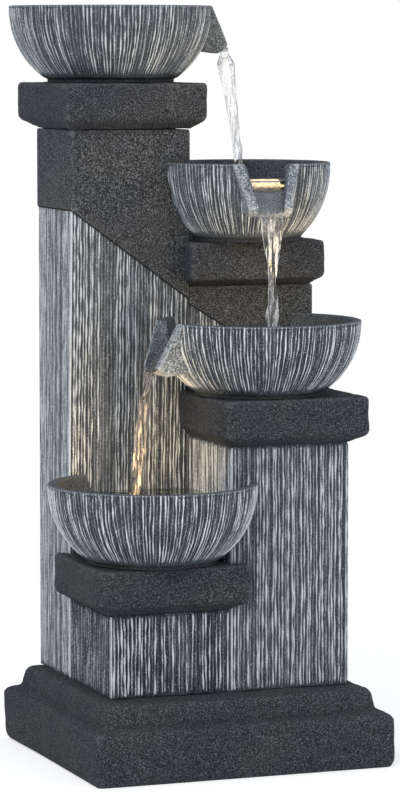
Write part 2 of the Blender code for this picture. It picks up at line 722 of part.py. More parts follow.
def bowl_profile(bowl):
    """Return a bowl's section: up the inside, over the rim, down the outside, under the foot.

    The run starts on the axis at the inside floor and ends on the axis under that floor.
    """
    points = [(0.0, -CAVITY_DEPTH), (bowl.radius * FLOOR_SHARE, -CAVITY_DEPTH)]
    for share in (0.86, 0.6, 0.3):
        depth = CAVITY_DEPTH * share
        wall = BOWL_WALL * (1.0 + 0.9 * share ** 3)
        points.append((bowl_outer(bowl, depth) - wall, -depth))
    points.append((bowl.radius - BOWL_WALL, 0.0))
    points.append((bowl.radius - RIM_EDGE, 0.0))
    lowest = bowl.height - FOOT_HEIGHT * 1.3
    for step in range(BOWL_OUTER_STEPS + 1):
        depth = max(RIM_EDGE, lowest * step / BOWL_OUTER_STEPS)
        points.append((bowl_outer(bowl, depth), -depth))
    roof = CAVITY_DEPTH + BOWL_FLOOR
    points.extend([(bowl.foot_radius, FOOT_HEIGHT - bowl.height),
                   (bowl.foot_radius, -bowl.height),
                   (bowl.foot_radius - FOOT_RING, -bowl.height),
                   (bowl_outer(bowl, roof) - BOWL_WALL * 2.0, -roof), (0.0, -roof)])
    return points


def spout_rings(bowl):
    """Return the beak's sections, from its underside up to the rim, in the spout's frame.

    Each section lies at its own height. The lowest one tilts up towards the bowl.
    """
    lip = bowl.spout_drop
    underside = lip + SPOUT_LIP_DEPTH
    sections = ((-underside, SPOUT_REACH * 0.35, SPOUT_LIP_HALF_WIDTH * 0.9, SPOUT_UNDERCUT),
                (-(lip + underside) / 2, SPOUT_REACH * 0.8, SPOUT_LIP_HALF_WIDTH * 0.97, 0.0),
                (-lip, SPOUT_REACH, SPOUT_LIP_HALF_WIDTH, 0.0),
                (0.0, 0.0, SPOUT_TOP_HALF_WIDTH, 0.0))
    rings = []
    for height, reach, half, climb in sections:
        outer = bowl_outer(bowl, -height)
        near = outer - BOWL_WALL * 0.6
        side = math.sqrt(outer ** 2 - half ** 2) - BOWL_WALL * 0.6
        far = bowl.radius + reach
        cheek = math.sqrt(bowl.radius ** 2 - half ** 2) + reach
        plan = [(side, -half), (cheek, -half), (far, -half * 0.35), (far, half * 0.35),
                (cheek, half), (side, half), (near, 0.0)]
        rings.append([(x, y, height + climb * (far - x) / (far - near)) for x, y in plan])
    return rings


def channel_rings(bowl):
    """Return the channel's sections, from inside the bowl out past the lip."""
    inner = bowl.radius - BOWL_WALL * 3.2
    fall = bowl.spout_drop + CHANNEL_LIP_FALL - CHANNEL_START_DEPTH
    run = bowl.radius + SPOUT_REACH - inner
    corner = CHANNEL_CORNER
    sections = []
    for place, half in ((inner, CHANNEL_HALF_WIDTH),
                        (bowl.radius - BOWL_WALL * 0.5, CHANNEL_HALF_WIDTH),
                        (bowl.radius + SPOUT_REACH, CHANNEL_LIP_HALF_WIDTH),
                        (bowl.radius + SPOUT_REACH * 1.8, CHANNEL_LIP_HALF_WIDTH * 0.8)):
        depth = CHANNEL_START_DEPTH + fall * (place - inner) / run
        sections.append([(place, -half, BOWL_WALL), (place, -half, corner - depth),
                         (place, corner - half, -depth), (place, half - corner, -depth),
                         (place, half, corner - depth), (place, half, BOWL_WALL)])
    return sections


def place_on_bowl(obj, bowl):
    """Set a spout's object on its bowl's axis at the rim, turned to the spout's direction."""
    obj.location = (bowl.x, bowl.y, bowl.rim)
    obj.rotation_euler = (0.0, 0.0, math.radians(bowl.spout_angle))


def build_bowl(bowl, keep_clear):
    """Build a bowl with its spout, cut clear of the towers that it stands against."""
    shell = turned(bowl.name, bowl_profile(bowl), (bowl.x, bowl.y, bowl.rim), PARTS,
                   STONE_CARVED, BOWL_SEGMENTS)
    if bowl.spout_angle is not None:
        beak = loft(f"{bowl.name}_spout", spout_rings(bowl), CUTTERS)
        place_on_bowl(beak, bowl)
        combine(shell, beak, "UNION")
        channel = loft(f"{bowl.name}_channel", channel_rings(bowl), CUTTERS)
        place_on_bowl(channel, bowl)
        combine(shell, channel)
    for cutter in keep_clear:
        combine(shell, cutter)
    return shell


def lamp_place(bowl, key):
    """Return a lamp's axis on its bowl."""
    offset = LAMP_OFFSETS[key]
    return bowl.x + offset[0], bowl.y + offset[1]


def build_lamp(bowl, key):
    """Build a lamp: a cup whose stem goes through the bowl's floor, a board and a lens."""
    x, y = lamp_place(bowl, key)
    floor = bowl.floor + SEAT_GAP
    stem_end = -(BOWL_FLOOR + SEAT_GAP + LAMP_NUT_HEIGHT + LAMP_STEM_SPARE)
    inner = LAMP_RADIUS - LAMP_CUP_WALL
    base = LAMP_BASE
    cup = [(0.0, base), (inner, base), (inner, LAMP_CUP_HEIGHT), (LAMP_RADIUS, LAMP_CUP_HEIGHT),
           (LAMP_RADIUS, 0.0), (LAMP_STEM_RADIUS - SEAT_GAP, 0.0),
           (LAMP_STEM_RADIUS - SEAT_GAP, stem_end), (0.0, stem_end)]
    turned(f"{key}_lamp_cup", cup, (x, y, floor), PARTS, PLASTIC_BLACK, LAMP_SEGMENTS)
    board_low = base + SEAT_GAP
    board = cylinder(f"{key}_lamp_board", inner - SEAT_GAP, floor + board_low,
                     floor + board_low + LAMP_BOARD_HEIGHT, (x, y), PARTS, material=BOARD_WHITE)
    for index in range(LAMP_CHIP_COUNT):
        angle = 2.0 * math.pi * index / LAMP_CHIP_COUNT
        chip_x = x + inner * 0.62 * math.cos(angle)
        chip_y = y + inner * 0.62 * math.sin(angle)
        chip_low = floor + board_low + LAMP_BOARD_HEIGHT
        chip = cylinder(f"{key}_lamp_chip_{index}", LAMP_CHIP_RADIUS, chip_low - JOIN_DEPTH,
                        chip_low + LAMP_CHIP_HEIGHT, (chip_x, chip_y), CUTTERS, segments=6)
        combine(board, chip, "UNION")
    lens_low = board_low + LAMP_BOARD_HEIGHT + LENS_STANDOFF
    lens_radius = inner - SEAT_GAP
    crown = lens_low + LAMP_LENS_HEIGHT
    seat = LAMP_CUP_HEIGHT + SEAT_GAP
    lens = [(0.0, crown), (lens_radius * 0.45, crown - LENS_CROWN * 0.2),
            (lens_radius * 0.8, crown - LENS_CROWN), (LAMP_RADIUS, seat + LENS_SKIRT),
            (LAMP_RADIUS, seat), (lens_radius, seat), (lens_radius, lens_low),
            (lens_radius - LENS_SKIRT, lens_low), (lens_radius - LENS_SKIRT, seat), (0.0, seat)]
    turned(f"{key}_lamp_lens", lens, (x, y, floor), PARTS, LENS_WARM, LAMP_SEGMENTS)
    nut_top = -(BOWL_FLOOR + 2 * SEAT_GAP)
    nut = cylinder(f"{key}_lamp_nut", LAMP_NUT_RADIUS, floor + nut_top - LAMP_NUT_HEIGHT,
                   floor + nut_top, (x, y), PARTS, material=PLASTIC_BLACK, segments=6)
    bore = cylinder(f"{key}_lamp_nut_bore", LAMP_STEM_RADIUS, floor + stem_end - CUT_PAST,
                    floor + CUT_PAST, (x, y), CUTTERS)
    combine(nut, bore)
    return cylinder(f"{key}_lamp_hole", LAMP_STEM_RADIUS, bowl.floor - BOWL_FLOOR * 2,
                    bowl.floor + BOWL_FLOOR, (x, y), CUTTERS)


def build_riser():
    """Build the riser hose that carries the water from the pump to the top bowl."""
    low = PUMP_FLOOR + PUMP_HEIGHT + SEAT_GAP
    riser = cylinder("riser_tube", RISER_RADIUS, low, RISER_TOP, (RISER_X, RISER_Y), PARTS,
                     material=TUBE_CLEAR)
    bore = cylinder("riser_bore", RISER_BORE, low - RISER_RADIUS, RISER_TOP + RISER_RADIUS,
                    (RISER_X, RISER_Y), CUTTERS)
    return combine(riser, bore)


def build_inlet():
    """Build the top bowl's inlet pipe with its nozzle and flange, and its sealing ring."""
    radius = RISER_BORE - RUN_GAP
    low = RISER_TOP - INLET_INSERTION
    floor = TOP_BOWL.floor + SEAT_GAP
    flange = floor + INLET_SEAL_HEIGHT + SEAT_GAP
    high = flange + INLET_STAND
    profile = [(INLET_BORE, high), (radius, high), (radius, flange + INLET_FLANGE_HEIGHT),
               (INLET_FLANGE_RADIUS, flange + INLET_FLANGE_HEIGHT), (INLET_FLANGE_RADIUS, flange),
               (radius, flange), (radius, low), (INLET_BORE, low)]
    turned("inlet_pipe", profile, (RISER_X, RISER_Y, 0.0), PARTS, PLASTIC_BLACK)
    ring = [(radius + SEAT_GAP, floor + INLET_SEAL_HEIGHT),
            (INLET_FLANGE_RADIUS, floor + INLET_SEAL_HEIGHT), (INLET_FLANGE_RADIUS, floor),
            (radius + SEAT_GAP, floor)]
    turned("inlet_seal", ring, (RISER_X, RISER_Y, 0.0), PARTS, RUBBER)
    return cylinder("inlet_hole", radius + SEAT_GAP, TALL_TOP, TOP_BOWL.floor + BOWL_FLOOR,
                    (RISER_X, RISER_Y), CUTTERS)


def build_drain():
    """Build the bottom bowl's strainer and the pipe that leads its water to the sump."""
    floor = BOTTOM_BOWL.floor + SEAT_GAP
    place = (DRAIN_X, DRAIN_Y)
    flange = DRAIN_FLANGE_HEIGHT
    pipe = [(DRAIN_BORE, floor + flange), (STRAINER_RADIUS, floor + flange),
            (STRAINER_RADIUS, floor), (DRAIN_RADIUS, floor), (DRAIN_RADIUS, DRAIN_END),
            (DRAIN_BORE, DRAIN_END)]
    turned("drain_pipe", pipe, (*place, 0.0), PARTS, PLASTIC_BLACK)
    low = floor + flange + SEAT_GAP
    inner = STRAINER_RADIUS - STRAINER_WALL
    cap = [(0.0, low + STRAINER_HEIGHT),
           (STRAINER_RADIUS - STRAINER_ROUND, low + STRAINER_HEIGHT),
           (STRAINER_RADIUS, low + STRAINER_HEIGHT - STRAINER_ROUND), (STRAINER_RADIUS, low),
           (inner, low),
           (inner, low + STRAINER_HEIGHT - STRAINER_WALL),
           (0.0, low + STRAINER_HEIGHT - STRAINER_WALL)]
    strainer = turned("drain_strainer", cap, (*place, 0.0), PARTS, PLASTIC_BLACK, LAMP_SEGMENTS)
    for index in range(STRAINER_SLOTS // 2):
        slot = box(f"strainer_slot_{index}",
                   (-STRAINER_RADIUS * 1.5, -STRAINER_SLOT_WIDTH / 2, STRAINER_SILL),
                   (STRAINER_RADIUS * 1.5, STRAINER_SLOT_WIDTH / 2,
                    STRAINER_HEIGHT - STRAINER_WALL * 1.5), CUTTERS)
        slot.location = (*place, low)
        slot.rotation_euler = (0.0, 0.0, math.pi * (index + 0.25) / (STRAINER_SLOTS // 2))
        combine(strainer, slot)
    return cylinder("drain_hole", DRAIN_RADIUS + SEAT_GAP, BOTTOM_LEDGE.base - CUT_PAST,
                    BOTTOM_BOWL.floor + BOWL_FLOOR, place, CUTTERS)


def rounded_block(name, x, width, y0, y1, z0, height, collection, material=None):
    """Return a block along Y whose section is a rounded rectangle centred on X."""
    outline = rounded_outline(x - width / 2, x + width / 2, z0, z0 + height, PUMP_CORNER)
    rings = [[(px, y, pz) for px, pz in outline] for y in (y0, y1)]
    return loft(name, rings, collection, material)


def build_pump_housing():
    """Build the motor housing with its rotor well, volute chamber and outlet."""
    housing = rounded_block("pump_housing", RISER_X, PUMP_WIDTH, PUMP_REAR_Y, PUMP_FACE_Y,
                            PUMP_FLOOR, PUMP_HEIGHT, PARTS, PLASTIC_BLACK)
    axis = (RISER_X, PUMP_AXIS_Z)
    top = PUMP_FLOOR + PUMP_HEIGHT
    stub = cylinder("outlet_stub", OUTLET_BARB_RADIUS, top - PUMP_CORNER, top + OUTLET_HEIGHT,
                    (RISER_X, RISER_Y), CUTTERS)
    combine(housing, stub, "UNION")
    chamber = cylinder("volute_chamber", CHAMBER_RADIUS, PUMP_FACE_Y - CHAMBER_DEPTH,
                       PUMP_FACE_Y + CHAMBER_DEPTH, axis, CUTTERS, axis="Y")
    well = cylinder("rotor_well", ROTOR_WELL_RADIUS, PUMP_FACE_Y - CHAMBER_DEPTH - ROTOR_WELL_DEPTH,
                    PUMP_FACE_Y, axis, CUTTERS, axis="Y")
    outlet = cylinder("outlet_bore", OUTLET_BORE, PUMP_AXIS_Z + CHAMBER_RADIUS * 0.6,
                      top + OUTLET_HEIGHT * 2, (RISER_X, RISER_Y), CUTTERS)
    for cutter in (chamber, well, outlet):
        combine(housing, cutter)
    return housing


def build_pump_cover():
    """Build the strainer cover with its intake slots and the seat of the flow dial."""
    low_y = PUMP_FACE_Y + SEAT_GAP
    cover = rounded_block("pump_cover", RISER_X, PUMP_WIDTH, low_y, low_y + COVER_DEPTH,
                          PUMP_FLOOR, PUMP_HEIGHT, PARTS, PLASTIC_BLACK)
    cavity = box("cover_cavity",
                 (RISER_X - PUMP_WIDTH / 2 + COVER_WALL, low_y + COVER_WALL,
                  PUMP_FLOOR + COVER_WALL),
                 (RISER_X + PUMP_WIDTH / 2 - COVER_WALL, low_y + COVER_DEPTH - COVER_WALL,
                  PUMP_FLOOR + PUMP_HEIGHT - COVER_WALL), CUTTERS)
    combine(cover, cavity)
    eye = cylinder("intake_eye", INTAKE_RADIUS, low_y - COVER_WALL, low_y + COVER_WALL * 2,
                   (RISER_X, PUMP_AXIS_Z), CUTTERS, axis="Y")
    combine(cover, eye)
    span = PUMP_WIDTH - 4 * COVER_WALL
    for index in range(COVER_SLOTS):
        x = RISER_X - span / 2 + span * (index + 0.5) / COVER_SLOTS
        slot = box(f"cover_slot_{index}",
                   (x - COVER_SLOT_WIDTH / 2, low_y + COVER_DEPTH - COVER_WALL * 2,
                    PUMP_FLOOR + 3 * COVER_WALL),
                   (x + COVER_SLOT_WIDTH / 2, low_y + COVER_DEPTH + COVER_WALL,
                    PUMP_FLOOR + PUMP_HEIGHT * 0.45), CUTTERS)
        combine(cover, slot)
    pin = cylinder("dial_hole", DIAL_PIN_RADIUS + RUN_GAP, low_y + COVER_DEPTH - COVER_WALL * 2,
                   low_y + COVER_DEPTH + COVER_WALL, (RISER_X, PUMP_FLOOR + DIAL_HEIGHT_ON_COVER),
                   CUTTERS, axis="Y")
    return combine(cover, pin)


def build_impeller():
    """Build the impeller's blades and disc, the magnet behind them and the fixed shaft."""
    chamber_back = PUMP_FACE_Y - CHAMBER_DEPTH
    disc_back = chamber_back + ROTOR_END_GAP
    disc_face = disc_back + IMPELLER_DISC_THICKNESS
    axis = (RISER_X, PUMP_AXIS_Z)
    wheel = cylinder("impeller", IMPELLER_DISC_RADIUS, disc_back, disc_face, axis, PARTS, axis="Y",
                     material=PLASTIC_WHITE)
    hub = cylinder("impeller_hub", IMPELLER_DISC_RADIUS * 0.35, disc_back,
                   disc_face + IMPELLER_BLADE_DEPTH, axis, CUTTERS, axis="Y", segments=16)
    combine(wheel, hub, "UNION")
    for index in range(IMPELLER_BLADES):
        blade = box(f"impeller_blade_{index}",
                    (IMPELLER_DISC_RADIUS * 0.25, 0.0, -IMPELLER_BLADE_THICKNESS / 2),
                    (IMPELLER_DISC_RADIUS * 0.97, IMPELLER_BLADE_DEPTH + IMPELLER_DISC_THICKNESS / 2,
                     IMPELLER_BLADE_THICKNESS / 2), CUTTERS)
        blade.location = (RISER_X, disc_back + IMPELLER_DISC_THICKNESS / 2, PUMP_AXIS_Z)
        blade.rotation_euler = (0.0, 2.0 * math.pi * index / IMPELLER_BLADES, 0.0)
        combine(wheel, blade, "UNION")
    magnet_low = chamber_back - ROTOR_WELL_DEPTH + ROTOR_END_GAP
    magnet = cylinder("impeller_magnet", MAGNET_RADIUS, magnet_low, disc_back - SEAT_GAP, axis,
                      PARTS, axis="Y", material=MAGNET_GREY)
    bore = cylinder("impeller_bore", SHAFT_RADIUS + RUN_GAP / 2, magnet_low - CUT_PAST,
                    PUMP_FACE_Y + CUT_PAST, axis, CUTTERS, axis="Y", segments=16)
    combine(wheel, bore)
    combine(magnet, bore)
    cylinder("impeller_shaft", SHAFT_RADIUS, chamber_back - ROTOR_WELL_DEPTH + SEAT_GAP,
             PUMP_FACE_Y + SEAT_GAP * 0.5, axis, PARTS, axis="Y", material=CERAMIC, segments=16)


def build_flow_dial():
    """Build the dial that sets the pump's flow, with its pin and its finger rib."""
    face = PUMP_FACE_Y + SEAT_GAP + COVER_DEPTH
    axis = (RISER_X, PUMP_FLOOR + DIAL_HEIGHT_ON_COVER)
    dial = cylinder("flow_dial", DIAL_RADIUS, face + SEAT_GAP, face + SEAT_GAP + DIAL_THICKNESS,
                    axis, PARTS, axis="Y", material=PLASTIC_WHITE)
    pin = cylinder("dial_pin", DIAL_PIN_RADIUS, face - COVER_WALL * 1.6,
                   face + SEAT_GAP + DIAL_THICKNESS / 2, axis, CUTTERS, axis="Y", segments=16)
    combine(dial, pin, "UNION")
    rib = box("dial_rib", (RISER_X - DIAL_RIB_WIDTH / 2, face + DIAL_THICKNESS / 2,
                           axis[1] - DIAL_RADIUS * 0.8),
              (RISER_X + DIAL_RIB_WIDTH / 2, face + DIAL_THICKNESS + DIAL_RIB_HEIGHT,
               axis[1] + DIAL_RADIUS * 0.8), CUTTERS)
    combine(dial, rib, "UNION")


def build_suction_feet():
    """Build the four suction cups under the pump."""
    inset_x = PUMP_WIDTH / 2 - SUCTION_CUP_RADIUS
    inset_y = PUMP_LENGTH / 2 - SUCTION_CUP_RADIUS
    middle_y = (PUMP_FACE_Y + PUMP_REAR_Y) / 2
    for label, sign_x, sign_y in (("front_left", -1, -1), ("front_right", 1, -1),
                                  ("rear_left", -1, 1), ("rear_right", 1, 1)):
        cylinder(f"pump_foot_{label}", SUCTION_CUP_RADIUS, SUMP_FLOOR + SEAT_GAP,
                 PUMP_FLOOR - SEAT_GAP,
                 (RISER_X + sign_x * inset_x, middle_y + sign_y * inset_y), PARTS,
                 material=RUBBER, segments=16, end_radius=SUCTION_CUP_RADIUS * 0.45)


def door_frame_box(name, margin, y0, y1, collection, material=None):
    """Return a box as wide and high as the door's hole plus a margin on each side."""
    middle = (TALL.x0 + TALL.x1) / 2
    half = DOOR_WIDTH / 2 + margin
    return box(name, (middle - half, y0, DOOR_SILL - margin),
               (middle + half, y1, DOOR_SILL + DOOR_HEIGHT + margin), collection, material)


def build_door(tall_column):
    """Build the access door and its seal, and cut their seat in the tall column."""
    hole = door_frame_box("door_hole", 0.0, REAR_Y - COLUMN_WALL * 2, REAR_Y + COLUMN_WALL,
                          CUTTERS)
    rebate = door_frame_box("door_rebate", DOOR_LAND, REAR_Y - REBATE_DEPTH,
                            REAR_Y + COLUMN_WALL, CUTTERS)
    combine(tall_column, hole)
    combine(tall_column, rebate)
    seal_low = REAR_Y - REBATE_DEPTH + SEAT_GAP
    seal_high = seal_low + SEAL_THICKNESS
    seal = door_frame_box("door_seal", SEAL_WIDTH + SEAT_GAP, seal_low, seal_high, PARTS, RUBBER)
    opening = door_frame_box("seal_opening", SEAT_GAP, seal_low - CUT_PAST,
                             seal_high + CUT_PAST, CUTTERS)
    combine(seal, opening)
    flange_low = seal_high + SEAT_GAP
    door = door_frame_box("access_door", DOOR_LAND - RUN_GAP, flange_low, flange_low + DOOR_FLANGE,
                          PARTS, STONE_PLAIN)
    plug = door_frame_box("door_plug", -RUN_GAP, flange_low - DOOR_PLUG_DEPTH,
                          flange_low + DOOR_FLANGE / 2, CUTTERS)
    combine(door, plug, "UNION")
    middle = (TALL.x0 + TALL.x1) / 2
    top = DOOR_SILL + DOOR_HEIGHT - DOOR_GRIP_HEIGHT
    grip = box("door_grip", (middle - DOOR_GRIP_WIDTH / 2, flange_low + DOOR_FLANGE
                             - DOOR_GRIP_DEPTH, top - DOOR_GRIP_HEIGHT),
               (middle + DOOR_GRIP_WIDTH / 2, flange_low + DOOR_FLANGE * 2, top), CUTTERS)
    combine(door, grip)


def build_grommet(tall_column):
    """Build the cord's grommet and its hole in the rear of the tall column."""
    wall_in = REAR_Y - COLUMN_WALL
    hole = cylinder("grommet_hole", GROMMET_HOLE + SEAT_GAP, wall_in - COLUMN_WALL,
                    REAR_Y + COLUMN_WALL, (GROMMET_X, GROMMET_Z), CUTTERS, axis="Y")
    combine(tall_column, hole)
    inner = wall_in - SEAT_GAP
    outer = REAR_Y + SEAT_GAP
    grommet = [(CORD_HOLE, outer + GROMMET_LIP), (GROMMET_FLANGE, outer + GROMMET_LIP),
               (GROMMET_FLANGE, outer), (GROMMET_HOLE, outer), (GROMMET_HOLE, inner),
               (GROMMET_FLANGE, inner), (GROMMET_FLANGE, inner - GROMMET_LIP),
               (CORD_HOLE, inner - GROMMET_LIP)]
    turned("cord_grommet", grommet, (GROMMET_X, 0.0, GROMMET_Z), PARTS, RUBBER, along_y=True)


def mount_on_axis(name, place, pieces):
    """Parent the pieces of a moving group to an empty on its joint's axis."""
    empty = bpy.data.objects.new(name, None)
    empty.location = place
    PARTS.objects.link(empty)
    for piece in pieces:
        obj = bpy.data.objects[piece]
        obj.parent = empty
        obj.matrix_parent_inverse = Matrix.Translation(place).inverted()


def build_fountain():
    """Build every piece of the fountain."""
    around_tall = tower_envelope(TALL, SEAT_GAP, "clear_of_tall_column")
    around_right = tower_envelope(RIGHT, SEAT_GAP, "clear_of_right_column")
    around_block = box("clear_of_front_block",
                       (FRONT_BLOCK.x0 - SEAT_GAP, FRONT_BLOCK.y0 - SEAT_GAP, DECK_TOP),
                       (FRONT_BLOCK.x1 + SEAT_GAP, FRONT_BLOCK.y1 + SEAT_GAP,
                        FRONT_BLOCK.top + SEAT_GAP), CUTTERS)

    build_plinth()
    tall = build_tower(TALL, ("front", "left"), {("rear", "left"), ("left", "front")})
    build_tower(RIGHT, ("front", "right"), {("front", "right"), ("right", "rear")})
    build_low_block(FRONT_BLOCK, ("front", "right", "left"), {("front", "right")})
    build_low_block(PEDESTAL, ("front", "left"), {("left", "front")})

    top_ledge = build_ledge(TOP_LEDGE, STONE_PLAIN)
    second_ledge = build_ledge(SECOND_LEDGE, STONE_PLAIN)
    third_ledge = build_ledge(THIRD_LEDGE, STONE_PLAIN)
    bottom_ledge = build_ledge(BOTTOM_LEDGE, STONE_PLAIN)
    combine(second_ledge, around_tall)
    combine(third_ledge, around_tall)
    combine(bottom_ledge, around_tall)
    combine(bottom_ledge, around_right)
    combine(bottom_ledge, around_block)

    top_bowl = build_bowl(TOP_BOWL, ())
    second_bowl = build_bowl(SECOND_BOWL, (around_tall,))
    third_bowl = build_bowl(THIRD_BOWL, (around_tall, around_right))
    bottom_bowl = build_bowl(BOTTOM_BOWL, (around_tall, around_block))

    combine(second_bowl, build_lamp(SECOND_BOWL, "second"))
    combine(third_bowl, build_lamp(THIRD_BOWL, "third"))
    combine(bottom_bowl, build_lamp(BOTTOM_BOWL, "bottom"))

    build_riser()
    inlet_hole = build_inlet()
    combine(top_ledge, inlet_hole)
    combine(top_bowl, inlet_hole)
    drain_hole = build_drain()
    combine(bottom_ledge, drain_hole)
    combine(bottom_bowl, drain_hole)

    build_pump_housing()
    build_pump_cover()
    build_impeller()
    build_flow_dial()
    build_suction_feet()
    build_door(tall)
    build_grommet(tall)

    mount_on_axis("top_lift_axis", (RISER_X, RISER_Y, TALL_TOP + SEAT_GAP),
                  ("top_ledge", "top_bowl", "inlet_pipe", "inlet_seal"))
    mount_on_axis("impeller_axis", (RISER_X, PUMP_FACE_Y, PUMP_AXIS_Z),
                  ("impeller", "impeller_magnet"))
    mount_on_axis("flow_dial_axis", (RISER_X, PUMP_FACE_Y, PUMP_FLOOR + DIAL_HEIGHT_ON_COVER),
                  ("flow_dial",))
    mount_on_axis("door_axis", ((TALL.x0 + TALL.x1) / 2, REAR_Y, DOOR_SILL + DOOR_HEIGHT / 2),
                  ("access_door",))


clear_scene()
PARTS = new_collection("waterfall_fountain")
CUTTERS = new_collection("cutters")
STONE_PLAIN = make_material("stone_plain", (0.052, 0.055, 0.062), 0.82)
STONE_CARVED = make_material("stone_carved", (0.155, 0.170, 0.195), 0.78)
PLASTIC_BLACK = make_material("plastic_black", (0.018, 0.018, 0.020), 0.45)
PLASTIC_WHITE = make_material("plastic_white", (0.72, 0.72, 0.70), 0.40)
RUBBER = make_material("rubber", (0.030, 0.030, 0.032), 0.70)
TUBE_CLEAR = make_material("tube_clear", (0.62, 0.68, 0.70), 0.20)
CERAMIC = make_material("ceramic", (0.80, 0.80, 0.78), 0.25)
MAGNET_GREY = make_material("magnet_grey", (0.110, 0.110, 0.115), 0.50, 0.4)
BOARD_WHITE = make_material("board_white", (0.70, 0.70, 0.66), 0.50)
LENS_WARM = make_material("lens_warm", (1.0, 0.78, 0.42), 0.15)
build_fountain()
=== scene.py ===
"""Waterfall fountain in carved cast stone: its looks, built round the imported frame.

All sizes are in metres and all places in the frame's axes: X to the fountain's right,
Y to its rear and Z up, with the plinth's centre on the floor at the origin.
"""

from __future__ import annotations

import logging
import math
from dataclasses import dataclass
from enum import Enum, IntEnum

import bpy
import numpy as np
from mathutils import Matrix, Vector

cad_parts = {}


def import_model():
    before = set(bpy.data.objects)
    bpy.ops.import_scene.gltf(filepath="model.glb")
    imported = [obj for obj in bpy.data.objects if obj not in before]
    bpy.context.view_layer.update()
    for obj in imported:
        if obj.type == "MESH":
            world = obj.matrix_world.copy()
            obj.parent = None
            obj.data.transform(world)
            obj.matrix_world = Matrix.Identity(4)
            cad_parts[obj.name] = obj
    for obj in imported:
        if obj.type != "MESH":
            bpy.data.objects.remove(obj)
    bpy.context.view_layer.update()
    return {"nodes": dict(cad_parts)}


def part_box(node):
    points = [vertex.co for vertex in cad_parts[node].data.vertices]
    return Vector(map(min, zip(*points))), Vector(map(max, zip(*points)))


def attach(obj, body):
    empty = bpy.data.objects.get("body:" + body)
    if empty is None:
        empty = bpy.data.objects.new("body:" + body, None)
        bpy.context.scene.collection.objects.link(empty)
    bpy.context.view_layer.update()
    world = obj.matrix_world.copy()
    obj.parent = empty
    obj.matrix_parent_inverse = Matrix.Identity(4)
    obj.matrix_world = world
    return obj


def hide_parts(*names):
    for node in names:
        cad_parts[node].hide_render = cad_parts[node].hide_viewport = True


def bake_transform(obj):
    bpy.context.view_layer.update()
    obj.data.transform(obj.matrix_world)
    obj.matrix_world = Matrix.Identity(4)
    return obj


LOG = logging.getLogger("waterfall_fountain")
BODY = "fountain_body"
TOP = "top_section"
LAMPS = ("second", "third", "bottom")
TURN = 2.0 * math.pi
WELD = 0.000002  # points of a grid that lie nearer than this become one
SPIN_WELD = 0.000004  # the same for a turned bowl
SOLID_WELD = 0.00002  # the same for a solid of the frame
SEAM = 0.00015  # half the gap between two castings that stand side by side
CLEARANCE = 0.0003  # gap between a bowl and the casting that it stands against
STEP_TOP = 0.0863  # height at which the columns stand on the plinth
Object = bpy.types.Object
Socket = bpy.types.NodeSocket
Point = tuple[float, float, float]
Colour = tuple[float, float, float]


# ---------------------------------------------------------------- finishes


